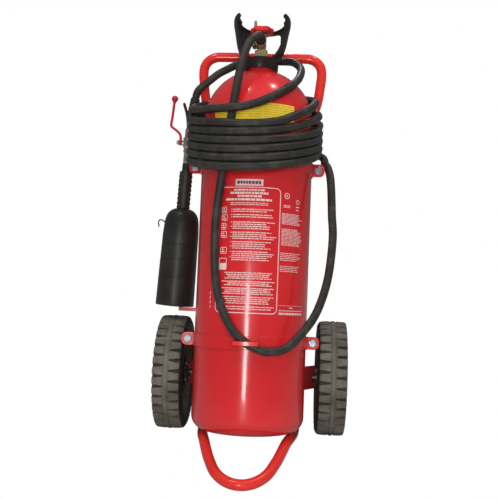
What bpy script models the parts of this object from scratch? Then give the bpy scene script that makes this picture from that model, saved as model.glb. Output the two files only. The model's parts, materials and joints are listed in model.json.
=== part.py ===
"""Wheeled carbon dioxide fire extinguisher: a steel cylinder clamped in a two-wheeled tube trolley.

Everything is modelled upright in the cylinder's own frame, in metres: Z along the cylinder's axis,
X to the right, -Y to the front, Z = 0 just under the tyres. One parent empty then leans the whole
machine back until it stands on its two tyres and the toe of the foot loop, on the floor at Z = 0.
"""

from math import asin, atan2, cos, hypot, pi, radians, sin, sqrt

import bmesh
import bpy
from mathutils import Matrix, Vector

GAP = 0.0003

# Cylinder
CYLINDER_R = 0.1145
CYLINDER_WALL = 0.0055
BASE_Z = 0.023
BASE_DISH = 0.016
KNUCKLE_R = 0.030
SHOULDER_Z = 0.653
NECK_R = 0.030
NECK_BORE_R = 0.014
NECK_TOP_Z = 0.792

# Trolley frame
TUBE_R = 0.0105
RAIL_X = 0.0985
RAIL_Y = 0.0835
RAIL_JOINTS_Z = (0.075, 0.450)
HANDLE_TOP_Z = 0.8245
TOE_Y = -0.163
TOE_Z = -0.0525

# Wheels
WHEEL_R = 0.124
WHEEL_WIDTH = 0.0585
WHEEL_X = 0.174
AXLE_Y = 0.1275
AXLE_Z = 0.125
AXLE_R = 0.010
AXLE_HALF = 0.2050
AXLE_CAP_X = 0.2075
RUNNING_GAP = 0.00008

# Clamps
CLAMP_HEIGHT = 0.026
CLAMP_SHEET = 0.003
CLAMP_R = CYLINDER_R + GAP
CLAMP_Z = {"lower": 0.2040, "upper": 0.5595}
CLAMP_SPLIT_Y = -0.0062
EAR_X = 0.141
BOLT_X = 0.1282
BOLT_R = 0.004

# Valve, handwheel and guard
OUTLET_Z = 0.822
OUTLET_BOSS_Y = -0.0245
VALVE_TOP_Z = 0.838
VALVE_BORE_R = 0.0040
WHEEL_LOW_Z = 0.8495
SPINDLE_R = 0.0040
HANDWHEEL_R = 0.0250
HANDWHEEL_THICK = 0.011
GUARD_LOW_Z = 0.7685
GUARD_TIP_Z = 0.886

# Hose and coil
HOSE_R = 0.008
COIL_X = -0.0075
COIL_HALF_X = 0.1325
COIL_CORNER = 0.0080
COIL_FRONT = 0.148
COIL_REAR = 0.1245
COIL_LOW_Z = 0.5310
COIL_TOP_Z = 0.6085
COIL_SLOPE_Y = 0.33
COIL_SLOPE_X = 0.03

# Lance: its own frame has its origin at the middle of the ball valve and +Z up the lance
LANCE_VALVE = Vector((-0.1568, 0.0795, 0.628))
LANCE_MOUTH = Vector((-0.1757, 0.1050, 0.271))
MOUTH_R = 0.0421
BALL_R = 0.0083
BALL_BORE_R = 0.0040
LANCE_BORE_R = 0.0045
LEVER_STEM_R = 0.0030

# The stance: the line under the tyres and the toe is the floor
toe_reach = hypot(AXLE_Y - TOE_Y, AXLE_Z - TOE_Z)
lean = atan2(AXLE_Z - TOE_Z, AXLE_Y - TOE_Y) - asin((WHEEL_R - TUBE_R) / toe_reach)
rear_y = AXLE_Y * cos(lean) + AXLE_Z * sin(lean) + WHEEL_R
front_y = TOE_Y * cos(lean) + TOE_Z * sin(lean) - TUBE_R
lift = WHEEL_R - (AXLE_Z * cos(lean) - AXLE_Y * sin(lean))
left_x = LANCE_MOUTH.x - MOUTH_R

for old in list(bpy.data.objects):
    bpy.data.objects.remove(old)

parts = bpy.data.collections.new("wheeled_extinguisher")
cutters = bpy.data.collections.new("cutters")
bpy.context.scene.collection.children.link(parts)
bpy.context.scene.collection.children.link(cutters)
cutters.hide_render = True

stance = bpy.data.objects.new("stance", None)
stance.location = (-(left_x + AXLE_CAP_X) / 2, -(rear_y + front_y) / 2, lift)
stance.rotation_euler = (-lean, 0.0, 0.0)
parts.objects.link(stance)


def material(name, color, roughness, metallic=0.0):
    made = bpy.data.materials.new(name)
    made.use_nodes = True
    shader = made.node_tree.nodes["Principled BSDF"]
    shader.inputs["Base Color"].default_value = (*color, 1.0)
    shader.inputs["Roughness"].default_value = roughness
    shader.inputs["Metallic"].default_value = metallic
    return made


RED_PAINT = material("red_paint", (0.55, 0.02, 0.02), 0.25)
RED_PLASTIC = material("red_plastic", (0.62, 0.03, 0.02), 0.35)
BLACK_PLASTIC = material("black_plastic", (0.02, 0.02, 0.02), 0.45)
BLACK_RUBBER = material("black_rubber", (0.035, 0.034, 0.030), 0.7)
TYRE_RUBBER = material("tyre_rubber", (0.055, 0.050, 0.045), 0.8)
BRASS = material("brass", (0.60, 0.45, 0.22), 0.35, 1.0)
ZINC = material("zinc", (0.62, 0.64, 0.66), 0.30, 1.0)
NICKEL = material("nickel", (0.75, 0.72, 0.62), 0.25, 1.0)


# Placing and shaping helpers


def pivot(name, location, rotation=(0.0, 0.0, 0.0)):
    """An empty on a joint's axis or at the head of a sub-assembly."""
    empty = bpy.data.objects.new(name, None)
    empty.parent = stance
    empty.location = location
    empty.rotation_euler = rotation
    parts.objects.link(empty)
    return empty


def place(obj, finish, parent=None, location=(0.0, 0.0, 0.0), rotation=(0.0, 0.0, 0.0)):
    parts.objects.link(obj)
    obj.parent = parent or stance
    obj.location = location
    obj.rotation_euler = rotation
    obj.data.materials.append(finish)
    return obj


def as_cutter(obj, parent=None):
    cutters.objects.link(obj)
    obj.parent = parent or stance
    obj.hide_render = True
    obj.display_type = "WIRE"
    return obj


def boolean(obj, other, operation="DIFFERENCE"):
    modifier = obj.modifiers.new(operation.lower(), "BOOLEAN")
    modifier.operation = operation
    modifier.object = other


def mesh_object(name, build):
    """An object whose mesh is filled by build(bmesh)."""
    mesh = bpy.data.meshes.new(name)
    shape = bmesh.new()
    build(shape)
    shape.to_mesh(mesh)
    shape.free()
    return bpy.data.objects.new(name, mesh)


def rod(name, start, end, radius, sides=24, end_radius=None):
    """A closed cylinder or cone from start to end."""
    start = Vector(start)
    along = Vector(end) - start

    def build(shape):
        turn = Vector((0.0, 0.0, 1.0)).rotation_difference(along).to_matrix().to_4x4()
        bmesh.ops.create_cone(
            shape,
            cap_ends=True,
            segments=sides,
            radius1=radius,
            radius2=radius if end_radius is None else end_radius,
            depth=along.length,
            matrix=Matrix.Translation(start + along / 2) @ turn,
        )

    return mesh_object(name, build)


def block(name, low, high):
    """A box between two corners."""
    low = Vector(low)
    high = Vector(high)

    def build(shape):
        stretch = Matrix.Diagonal((*(high - low), 1.0))
        bmesh.ops.create_cube(shape, size=1.0, matrix=Matrix.Translation((low + high) / 2) @ stretch)

    return mesh_object(name, build)


def ball(name, centre, radius, sides=16, rings=10):
    def build(shape):
        bmesh.ops.create_uvsphere(
            shape, u_segments=sides, v_segments=rings, radius=radius, matrix=Matrix.Translation(centre)
        )

    return mesh_object(name, build)


def arc(centre_r, centre_z, radius, start_deg, end_deg, count):
    """Points (r, z) of a profile's arc, angles from +r towards +z."""
    steps = [radians(start_deg + (end_deg - start_deg) * i / (count - 1)) for i in range(count)]
    return [(centre_r + radius * cos(a), centre_z + radius * sin(a)) for a in steps]


def turned(name, profile, steps=32, closed=False):
    """A solid of revolution about Z. The profile's outer side runs from top to bottom."""
    mesh = bpy.data.meshes.new(name)
    points = [(r, 0.0, z) for r, z in profile]
    edges = [(i, i + 1) for i in range(len(points) - 1)]
    if closed:
        edges.append((len(points) - 1, 0))
    mesh.from_pydata(points, edges, [])
    obj = bpy.data.objects.new(name, mesh)
    screw = obj.modifiers.new("turn", "SCREW")
    screw.steps = steps
    screw.render_steps = steps
    screw.use_merge_vertices = True
    screw.merge_threshold = 0.00001
    screw.use_smooth_shade = True
    return obj


def smooth_path(points, spacing):
    """A Catmull-Rom curve through the points, sampled about every spacing metres."""
    points = [Vector(p) for p in points]
    ends = [2 * points[0] - points[1]] + points + [2 * points[-1] - points[-2]]
    path = []
    for before, a, b, after in zip(ends, ends[1:], ends[2:], ends[3:]):
        count = max(1, round((b - a).length / spacing))
        for i in range(count):
            t = i / count
            path.append(
                0.5 * (2 * a + (b - before) * t + (2 * before - 5 * a + 4 * b - after) * t**2
                       + (3 * a - before - 3 * b + after) * t**3)
            )
    return path + [points[-1]]


def tube(name, path, radius, resolution=4):
    """A round solid tube along the points of path."""
    curve = bpy.data.curves.new(name, "CURVE")
    curve.dimensions = "3D"
    curve.bevel_depth = radius
    curve.bevel_resolution = resolution
    curve.use_fill_caps = True
    spline = curve.splines.new("POLY")
    spline.points.add(len(path) - 1)
    for point, place_at in zip(spline.points, path):
        point.co = (*place_at, 1.0)
    return bpy.data.objects.new(name, curve)


def plate(name, outlines, thickness):
    """A flat plate in XY: the first outline is the edge, any others are holes."""
    curve = bpy.data.curves.new(name, "CURVE")
    curve.dimensions = "2D"
    curve.fill_mode = "BOTH"
    curve.extrude = thickness / 2
    for outline in outlines:
        spline = curve.splines.new("POLY")
        spline.points.add(len(outline) - 1)
        for point, (x, y) in zip(spline.points, outline):
            point.co = (x, y, 0.0, 1.0)
        spline.use_cyclic_u = True
    return bpy.data.objects.new(name, curve)


def as_mesh(obj):
    """The curve object as a welded mesh object, which can be cut, joined or sheared."""
    parts.objects.link(obj)
    graph = bpy.context.evaluated_depsgraph_get()
    mesh = bpy.data.meshes.new_from_object(obj.evaluated_get(graph))
    shape = bmesh.new()
    shape.from_mesh(mesh)
    bmesh.ops.remove_doubles(shape, verts=shape.verts, dist=0.00001)
    bmesh.ops.recalc_face_normals(shape, faces=shape.faces)
    shape.to_mesh(mesh)
    shape.free()
    name = obj.name
    bpy.data.objects.remove(obj)
    mesh.name = name
    return bpy.data.objects.new(name, mesh)


def mirrored(half):
    """A path made whole: half runs from the +X end to the middle, at X = 0."""
    return half + [(-x, y, z) for x, y, z in reversed(half[:-1])]


def hexagon(width):
    """The corner radius of a hexagon of that width across its flats."""
    return width / sqrt(3)


# Cylinder and its dip tube


def cylinder():
    inner_r = CYLINDER_R - CYLINDER_WALL
    knuckle_z = BASE_Z + KNUCKLE_R
    inner_top = 90 - 8.2
    outer_dish = [(0.0, BASE_Z + BASE_DISH), (0.040, BASE_Z + 0.0125), (0.068, BASE_Z + 0.0035)]
    inner_dish = [(r, z + CYLINDER_WALL + 0.001) for r, z in outer_dish]
    outer = [(NECK_BORE_R, NECK_TOP_Z), (NECK_R, NECK_TOP_Z), (NECK_R, 0.770)]
    outer += [(0.0312, 0.7655), (0.036, 0.7618)]
    outer += arc(0.0, SHOULDER_Z, CYLINDER_R, 68, 0, 9)
    outer += [(CYLINDER_R, 0.34)]
    outer += arc(CYLINDER_R - KNUCKLE_R, knuckle_z, KNUCKLE_R, 0, -90, 6)
    inner = arc(inner_r - 0.024, knuckle_z + 0.001, 0.024, -84, 0, 4)
    inner += arc(0.0, SHOULDER_Z, inner_r, 0, inner_top, 6)
    profile = inner_dish + inner + outer + list(reversed(outer_dish))
    place(turned("cylinder_shell", profile, steps=36), RED_PAINT)
    pipe = [(0.0045, 0.7645), (0.006, 0.7645), (0.006, 0.052), (0.0045, 0.048)]
    place(turned("dip_tube", pipe, steps=12, closed=True), NICKEL)


# Trolley: handle, rails, foot loop, brackets and axle


def trolley():
    low_z, high_z = RAIL_JOINTS_Z
    handle_half = [(RAIL_X, high_z), (RAIL_X, 0.55), (RAIL_X, 0.640), (0.0998, 0.664), (0.1040, 0.681)]
    handle_half += [(0.1125, 0.6985), (0.1205, 0.716), (0.1252, 0.737), (0.1283, 0.762), (0.1305, 0.785)]
    handle_half += [(0.1288, 0.802), (0.1205, 0.815), (0.1060, 0.8228)]
    handle_half += [(0.0850, HANDLE_TOP_Z), (0.0, HANDLE_TOP_Z)]
    path = smooth_path(mirrored([(x, RAIL_Y, z) for x, z in handle_half]), 0.012)
    place(tube("handle_tube", thinned(path), TUBE_R), RED_PAINT)
    for side, name in ((-1, "left_rail"), (1, "right_rail")):
        foot = (side * RAIL_X, RAIL_Y, low_z + GAP)
        place(rod(name, foot, (side * RAIL_X, RAIL_Y, high_z - GAP), TUBE_R), RED_PAINT)
    foot_half = [(RAIL_X, RAIL_Y, low_z), (RAIL_X, RAIL_Y, 0.050), (0.0980, 0.0775, 0.030)]
    foot_half += [(0.0965, 0.0620, 0.0160), (0.0945, 0.0400, 0.0120), (0.0915, 0.0100, 0.0120)]
    foot_half += [(0.0865, -0.0250, 0.0110), (0.0805, -0.0520, 0.0060), (0.0730, -0.0800, -0.0060)]
    foot_half += [(0.0635, -0.1070, -0.0205), (0.0480, -0.1370, -0.0380), (0.0255, -0.1560, -0.0490)]
    foot_half += [(0.0, TOE_Y, TOE_Z)]
    place(tube("foot_loop", smooth_path(mirrored(foot_half), 0.018), TUBE_R), RED_PAINT)
    hose_rest()
    horn_rest()
    for side, name in ((-1, "axle_bracket_left"), (1, "axle_bracket_right")):
        axle_bracket(name, side)
    place(rod("axle", (-AXLE_HALF, AXLE_Y, AXLE_Z), (AXLE_HALF, AXLE_Y, AXLE_Z), AXLE_R, sides=32), ZINC)


def thinned(path):
    """The path without the points inside its straight runs."""
    kept = [path[0]]
    for before, point, after in zip(path, path[1:], path[2:]):
        if (point - before).angle(after - point) > radians(0.4):
            kept.append(point)
    return kept + [path[-1]]


def hose_rest():
    """A bent round bar at the back of the rails, which carries the rear of the coil."""
    rest_x, rest_y = RAIL_X, 0.1375
    half = [(rest_x, RAIL_Y + TUBE_R + GAP, 0.603), (rest_x, 0.1050, 0.603), (rest_x, 0.1270, 0.606)]
    half += [(rest_x, rest_y, 0.619), (rest_x, rest_y, 0.638), (0.0935, rest_y, 0.650)]
    half += [(0.0800, rest_y, 0.655), (0.0, rest_y, 0.655)]
    path = smooth_path(mirrored(half), 0.010)
    place(tube("hose_rest", thinned(path), 0.004, 2), RED_PAINT)


def horn_rest():
    """A flat strip on the left rail, with a tab that stands up inside the horn's mouth."""
    strip = block("horn_rest", (-0.1640, 0.0880, 0.2590), (-0.1083, 0.0920, 0.2668))
    tab = as_cutter(block("horn_rest_tab", (-0.1640, 0.0885, 0.2600), (-0.1540, 0.0915, 0.3000)))
    boolean(strip, tab, "UNION")
    place(strip, RED_PAINT)


def axle_bracket(name, side):
    """A plate that flares from the rail's outer side to the wheel hub, and holds the axle."""
    thickness, height = 0.004, 0.050
    flare = Vector((0.45, 0.893, 0.0)).normalized()
    outward = Vector((flare.y, -flare.x, 0.0))
    start = Vector((RAIL_X, RAIL_Y, 0.0)) + outward * (TUBE_R + GAP) - flare * 0.006
    length = (0.1390 - start.x - outward.x * 0.004) / flare.x
    corner = 0.010
    outline = [(0.0, -height / 2), (0.0, height / 2)]
    outline += [(length - corner, height / 2), (length, height / 2 - corner)]
    outline += [(length, corner - height / 2), (length - corner, -height / 2)]
    web = as_mesh(plate(name, [outline], thickness))
    middle = start + outward * (thickness / 2) + Vector((0.0, 0.0, AXLE_Z))
    axes = Matrix((flare, (0.0, 0.0, 1.0), outward)).transposed().to_4x4()
    web.data.transform(Matrix.Translation(middle) @ axes)
    if side < 0:
        web.data.transform(Matrix.Diagonal((-1.0, 1.0, 1.0, 1.0)))
        web.data.flip_normals()
    bore_ends = ((side * 0.10, AXLE_Y, AXLE_Z), (side * 0.16, AXLE_Y, AXLE_Z))
    boolean(web, as_cutter(rod(name + "_bore", *bore_ends, AXLE_R + GAP, sides=32)))
    place(web, RED_PAINT)


# Clamps and their fasteners


def clamp_half(name, z, side):
    """Half a band with an ear at each end: side is -1 for the front half and 1 for the rear half."""
    split = CLAMP_SPLIT_Y + side * GAP / 2
    back = split + side * CLAMP_SHEET
    outer_r = CLAMP_R + CLAMP_SHEET
    steps = 28
    outer_start = asin(side * back / outer_r)
    inner_start = asin(side * split / CLAMP_R)
    outline = [(EAR_X, split), (EAR_X, back)]
    for i in range(steps + 1):
        turn = outer_start + (pi - 2 * outer_start) * i / steps
        outline.append((outer_r * cos(turn), side * outer_r * sin(turn)))
    outline += [(-EAR_X, back), (-EAR_X, split)]
    for i in range(steps + 1):
        turn = inner_start + (pi - 2 * inner_start) * (steps - i) / steps
        outline.append((CLAMP_R * cos(turn), side * CLAMP_R * sin(turn)))
    band = as_mesh(plate(name, [outline], CLAMP_HEIGHT))
    band.data.transform(Matrix.Translation((0.0, 0.0, z)))
    for end in (-1, 1):
        hole_ends = ((end * BOLT_X, split - 0.01, z), (end * BOLT_X, split + 0.01, z))
        boolean(band, as_cutter(rod(f"{name}_hole_{end}", *hole_ends, BOLT_R + GAP, sides=16)))
    place(band, RED_PAINT)


def clamps():
    front_face = CLAMP_SPLIT_Y - GAP / 2 - CLAMP_SHEET
    rear_face = CLAMP_SPLIT_Y + GAP / 2 + CLAMP_SHEET
    for level, z in CLAMP_Z.items():
        clamp_half(f"{level}_clamp_front", z, -1)
        clamp_half(f"{level}_clamp_rear", z, 1)
        for side, hand in ((-1, "left"), (1, "right")):
            at = Vector((side * BOLT_X, 0.0, z))
            ahead = Vector((0.0, 1.0, 0.0))
            head_y = front_face - GAP
            shank_ends = (at + ahead * (head_y - 0.002), at + ahead * (rear_face + 0.0105))
            shank = as_cutter(rod(f"shank_{level}_{hand}", *shank_ends, BOLT_R))
            head_ends = (at + ahead * (head_y - 0.0055), at + ahead * head_y)
            head = rod(f"bolt_{level}_{hand}", *head_ends, hexagon(0.0135), sides=6)
            boolean(head, shank, "UNION")
            place(head, ZINC)
            nut_ends = (at + ahead * (rear_face + GAP), at + ahead * (rear_face + 0.0068))
            nut = rod(f"nut_{level}_{hand}", *nut_ends, hexagon(0.013), sides=6)
            hole_ends = (at + ahead * rear_face, at + ahead * (rear_face + 0.012))
            boolean(nut, as_cutter(rod(f"nut_hole_{level}_{hand}", *hole_ends, BOLT_R + GAP)))
            place(nut, ZINC)
    hook = [(-0.0265, -0.1160), (-0.0265, -0.1425), (0.0225, -0.1425), (0.0245, -0.1385)]
    hook += [(-0.0225, -0.1385), (-0.0225, -0.1160)]
    place(plate("hose_hook", [hook], 0.008), RED_PAINT, location=(0.0, 0.0, 0.2035))


# Wheels


def wheel(hand, side):
    axis = pivot(f"wheel_{hand}_axis", (side * WHEEL_X, AXLE_Y, AXLE_Z), (0.0, side * pi / 2, 0.0))
    half = WHEEL_WIDTH / 2
    tyre = [(0.0792, half * 0.62), (0.0860, half * 0.90), (0.1020, half), (0.1150, half * 0.97)]
    tyre += [(0.1215, half * 0.86), (WHEEL_R - 0.0006, half * 0.60), (WHEEL_R, half * 0.25)]
    tyre += [(r, -z) for r, z in reversed(tyre)]
    place(turned(f"tyre_{hand}", tyre, steps=28, closed=True), TYRE_RUBBER, axis)
    hub_bore = 0.0146
    rim = [(hub_bore, 0.027), (0.0215, 0.027), (0.0225, 0.007)]
    rim += [(0.0640, 0.005), (0.0680, 0.018), (0.0783, 0.0185)]
    rim += [(r, -z) for r, z in reversed(rim)]
    place(turned(f"rim_{hand}", rim, steps=24, closed=True), BLACK_PLASTIC, axis)
    bush_r = hub_bore - GAP
    bore_r = AXLE_R + RUNNING_GAP
    bush = [(bore_r, 0.029), (bush_r, 0.029), (bush_r, -0.0285), (bore_r, -0.0285)]
    place(turned(f"bush_{hand}", bush, steps=32, closed=True), ZINC, axis)
    cap_top = AXLE_CAP_X - WHEEL_X
    cap = [(0.0, cap_top), (0.0105, cap_top - 0.0004), (0.0155, cap_top - 0.0018), (0.0165, 0.0295)]
    cap += [(AXLE_R + GAP, 0.0295), (AXLE_R + GAP, cap_top - 0.0020), (0.0, cap_top - 0.0020)]
    place(turned(f"axle_cap_{hand}", cap, steps=24), BLACK_PLASTIC, axis)
    washer = [(AXLE_R + GAP, -0.0290), (0.0170, -0.0290), (0.0170, -0.0340), (AXLE_R + GAP, -0.0340)]
    place(turned(f"axle_spacer_{hand}", washer, steps=24, closed=True), ZINC, axis)


# Cylinder valve, handwheel and guard


def cylinder_valve():
    body = rod("valve_body", (0.0, 0.0, 0.812), (0.0, 0.0, VALVE_TOP_Z), 0.0095)
    vent_x, vent_y = -0.016, 0.027
    joined = {
        "stub": rod("valve_stub", (0.0, 0.0, 0.765), (0.0, 0.0, 0.800), 0.0133),
        "foot": rod("valve_foot", (0.0, 0.0, NECK_TOP_Z + 0.0006), (0.0, 0.0, 0.8125), hexagon(0.027), 6),
        "outlet": rod("valve_outlet", (0.0, -0.004, OUTLET_Z), (0.0, OUTLET_BOSS_Y, OUTLET_Z), 0.0080),
        "vent": rod("valve_vent", (0.0, 0.0, 0.831), (vent_x * 1.08, vent_y * 1.08, 0.831), 0.0058, sides=16),
    }
    for shape in joined.values():
        boolean(body, as_cutter(shape), "UNION")
    bores = {
        "inlet": rod("inlet_bore", (0.0, 0.0, 0.760), (0.0, 0.0, 0.810), VALVE_BORE_R, sides=16),
        "chamber": rod("chamber_bore", (0.0, 0.0, 0.8055), (0.0, 0.0, 0.845), 0.0055, sides=16),
        "outlet": rod("outlet_bore", (0.0, 0.0, OUTLET_Z), (0.0, -0.030, OUTLET_Z), VALVE_BORE_R, 16),
    }
    for shape in bores.values():
        boolean(body, as_cutter(shape))
    place(body, BRASS)
    vent = [(0.0, 0.8880), (0.0028, 0.8880), (0.0034, 0.8865), (0.0034, 0.8480)]
    vent += [(0.0052, 0.8460), (0.0052, 0.8375), (0.0, 0.8375)]
    place(turned("safety_vent", vent, steps=16), BRASS, location=(vent_x, vent_y, 0.0))
    nut_ends = ((0.0, 0.0, VALVE_TOP_Z + GAP), (0.0, 0.0, WHEEL_LOW_Z - 0.0020))
    nut = rod("bonnet_nut", *nut_ends, hexagon(0.019), sides=6)
    boolean(nut, as_cutter(rod("bonnet_bore", (0.0, 0.0, 0.83), (0.0, 0.0, 0.86), SPINDLE_R + RUNNING_GAP)))
    place(nut, BRASS)
    swivel_y = OUTLET_BOSS_Y - GAP
    ends = ((0.0, swivel_y, OUTLET_Z), (0.0, swivel_y - 0.0120, OUTLET_Z))
    outlet_nut = rod("outlet_nut", *ends, hexagon(0.022), sides=6)
    bore_ends = ((0.0, -0.02, OUTLET_Z), (0.0, -0.04, OUTLET_Z))
    boolean(outlet_nut, as_cutter(rod("outlet_nut_bore", *bore_ends, VALVE_BORE_R, 16)))
    place(outlet_nut, BRASS)
    ferrule = [(0.0, 0.0), (0.0085, 0.0), (0.0100, -0.0015)]
    ferrule += [(0.0100, -0.0190), (0.0090, -0.0222), (0.0, -0.0222)]
    turn = (-pi / 2, 0.0, 0.0)
    obj = place(turned("hose_ferrule_valve", ferrule, steps=24), BLACK_RUBBER, rotation=turn)
    obj.location = (0.0, swivel_y - 0.0120 - GAP, OUTLET_Z)


def handwheel():
    axis = pivot("handwheel_axis", (0.0, 0.0, WHEEL_LOW_Z))
    lobes, steps = 6, 60
    outline = []
    for i in range(steps):
        turn = 2 * pi * i / steps
        reach = HANDWHEEL_R - 0.0022 + 0.0022 * cos(lobes * turn)
        outline.append((reach * cos(turn), reach * sin(turn)))
    disc = as_mesh(plate("handwheel", [outline], HANDWHEEL_THICK))
    disc.data.transform(Matrix.Translation((0.0, 0.0, HANDWHEEL_THICK / 2)))
    boolean(disc, as_cutter(rod("handwheel_bore", (0, 0, -0.01), (0, 0, 0.02), SPINDLE_R + GAP, 16), axis))
    place(disc, RED_PLASTIC, axis)
    stem = rod("spindle", (0.0, 0.0, 0.8285 - WHEEL_LOW_Z), (0.0, 0.0, HANDWHEEL_THICK), SPINDLE_R)
    place(stem, ZINC, axis)
    nut = [(0.0, 0.0162), (0.0030, 0.0156), (0.0052, 0.0140), (0.0060, 0.0113), (0.0, 0.0113)]
    place(turned("handwheel_nut", nut, steps=16), ZINC, axis)
    plug = [(0.0, 0.8165), (0.0048, 0.8165), (0.0048, 0.8085), (0.0020, 0.8062), (0.0, 0.8062)]
    place(turned("valve_plug", plug, steps=16), BRASS)


def valve_guard():
    """A flared sleeve cut away to two arms, with a web across the back."""
    flare = [(0.0368, 0.7900), (0.0410, 0.7965), (0.0458, 0.8040), (0.0500, 0.8150), (0.0535, 0.8300)]
    flare += [(0.0560, 0.8450), (0.0590, 0.8600), (0.0603, 0.8700), (0.0594, 0.8760), (0.0556, 0.8825)]
    flare += [(0.0505, GUARD_TIP_Z)]
    inner = [(0.0309, GUARD_LOW_Z), (0.0309, 0.7910), (0.0365, 0.7965), (0.0418, 0.8040)]
    inner += [(0.0463, 0.8150), (0.0500, 0.8300), (0.0526, 0.8450), (0.0555, 0.8600), (0.0568, 0.8680)]
    inner += [(0.0562, 0.8730), (0.0530, 0.8796), (0.0490, 0.8825)]
    profile = list(reversed(flare)) + [(0.0365, GUARD_LOW_Z)] + inner
    guard = turned("valve_guard", profile, steps=32, closed=True)
    front = as_cutter(block("guard_front", (-0.1, -0.1, 0.7905), (0.1, -0.025, 0.91)))
    window = as_cutter(block("guard_window", (-0.0315, 0.0, 0.8000), (0.0385, 0.1, 0.8645)))
    dip = as_cutter(block("guard_dip", (-0.0475, -0.1, 0.8780), (0.0475, 0.1, 0.93)))
    web = as_cutter(block("guard_web", (-0.0400, -0.1, 0.8735), (0.0400, 0.1, 0.93)))
    for cutter in (front, window, dip, web):
        boolean(guard, cutter)
    place(guard, BLACK_PLASTIC)


# Hose: two plain tubes and the coil, which is one sheared ring


def coil_outline(grow, steps=48):
    """The coil's plan: a half ellipse at the front, squarer round the right rail than the left one."""
    outline = []
    for i in range(steps):
        turn = 2 * pi * i / steps
        right, rear = cos(turn) > 0, sin(turn) > 0
        power = (0.25 if right else 0.62) if rear else 1.0
        depth = COIL_REAR if rear else COIL_FRONT
        corner = (COIL_CORNER if right else COIL_CORNER / 2) * sin(turn) ** power if rear else 0.0
        x = (COIL_HALF_X + corner + grow) * abs(cos(turn)) ** power
        y = (depth + grow) * abs(sin(turn)) ** power
        outline.append((COIL_X + (x if right else -x), y if rear else -y))
    return outline


FRONT_ROUTE = [
    (0.0, -0.0606, 0.8220), (-0.0010, -0.0696, 0.8219), (-0.0135, -0.0820, 0.8130),
    (-0.0220, -0.0930, 0.7945), (-0.0285, -0.1020, 0.7723), (-0.0334, -0.1090, 0.7481),
    (-0.0373, -0.1135, 0.7199), (-0.0414, -0.1155, 0.6923), (-0.0450, -0.1155, 0.6660),
    (-0.0480, -0.1150, 0.6400), (-0.0525, -0.1140, 0.6120), (-0.0560, -0.1132, 0.5880),
    (-0.0582, -0.1122, 0.5600), (-0.0611, -0.1102, 0.5350), (-0.0688, -0.1030, 0.4700),
    (-0.0717, -0.1004, 0.4110), (-0.0675, -0.1032, 0.3320), (-0.0536, -0.1116, 0.2745),
    (-0.0290, -0.1225, 0.2290), (-0.0069, -0.1275, 0.2080), (0.0167, -0.1300, 0.1960),
    (0.0415, -0.1270, 0.1894), (0.0733, -0.1160, 0.1958), (0.1022, -0.1025, 0.2230),
    (0.1312, -0.0870, 0.2663), (0.1516, -0.0710, 0.3318), (0.1598, -0.0550, 0.4120),
    (0.1575, -0.0400, 0.4633), (0.1555, -0.0200, 0.5160), (0.1530, -0.0030, 0.5480),
    (0.1480, 0.0150, 0.5700), (0.1420, 0.0290, 0.5810),
]
TOP_ROUTE = [
    (0.1250, 0.0050, 0.6770), (0.1215, 0.0300, 0.6880), (0.1090, 0.0530, 0.6990),
    (0.0920, 0.0700, 0.7065), (0.0650, 0.0920, 0.7125), (0.0300, 0.1060, 0.7155),
    (0.0, 0.1090, 0.7150), (-0.0300, 0.1060, 0.7125), (-0.0650, 0.0930, 0.7065),
    (-0.0900, 0.0720, 0.6990), (-0.1100, 0.0500, 0.6900), (-0.1300, 0.0200, 0.6770),
    (-0.1400, -0.0100, 0.6640), (-0.1340, -0.0560, 0.6485), (-0.1090, -0.1000, 0.6355),
    (-0.0650, -0.1340, 0.6262), (-0.0100, -0.1480, 0.6224), (0.0450, -0.1370, 0.6308),
    (0.0870, -0.1070, 0.6545), (0.1085, -0.0720, 0.6745), (0.1165, -0.0300, 0.6950),
    (0.1155, 0.0100, 0.7090), (0.1045, 0.0400, 0.7200), (0.0820, 0.0640, 0.7280),
    (0.0530, 0.0830, 0.7335), (0.0150, 0.0940, 0.7350), (-0.0300, 0.0920, 0.7310),
    (-0.0650, 0.0790, 0.7230), (-0.0920, 0.0570, 0.7140), (-0.1120, 0.0300, 0.7030),
    (-0.1290, 0.0050, 0.6910), (-0.1360, -0.0280, 0.6790), (-0.1290, -0.0640, 0.6670),
    (-0.1090, -0.0930, 0.6600), (-0.0806, -0.1150, 0.6580), (-0.0548, -0.1310, 0.6565),
    (-0.0301, -0.1370, 0.6573), (-0.0111, -0.1335, 0.6625), (0.0114, -0.1245, 0.6727),
    (0.0369, -0.1130, 0.6883), (0.0511, -0.1030, 0.6996), (0.0695, -0.0770, 0.7200),
    (0.0808, -0.0380, 0.7435), (0.0850, -0.0080, 0.7650), (0.0845, 0.0180, 0.7810),
    (0.0782, 0.0350, 0.7942), (0.0658, 0.0500, 0.8055), (0.0451, 0.0590, 0.8095),
    (0.0, 0.0620, 0.8095), (-0.0502, 0.0590, 0.8012), (-0.0756, 0.0550, 0.7886),
    (-0.0954, 0.0520, 0.7761), (-0.1149, 0.0500, 0.7590), (-0.1290, 0.0515, 0.7475),
    (-0.1370, 0.0540, 0.7400), (-0.1409, 0.0576, 0.7335), (-0.1430, 0.0605, 0.7255),
]


def hose_path(route, spacing):
    """The smooth curve through a route, with points at most spacing apart, and closer in the bends."""
    fine = smooth_path(route, 0.002)
    kept = [fine[0]]
    heading = fine[1] - fine[0]
    for before, point in zip(fine, fine[1:]):
        if (point - kept[-1]).length >= spacing or heading.angle(point - before) > radians(16):
            kept.append(point)
            heading = point - before
    if (kept[-1] - fine[-1]).length < 0.006:
        kept.pop()
    return kept + [fine[-1]]


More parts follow.
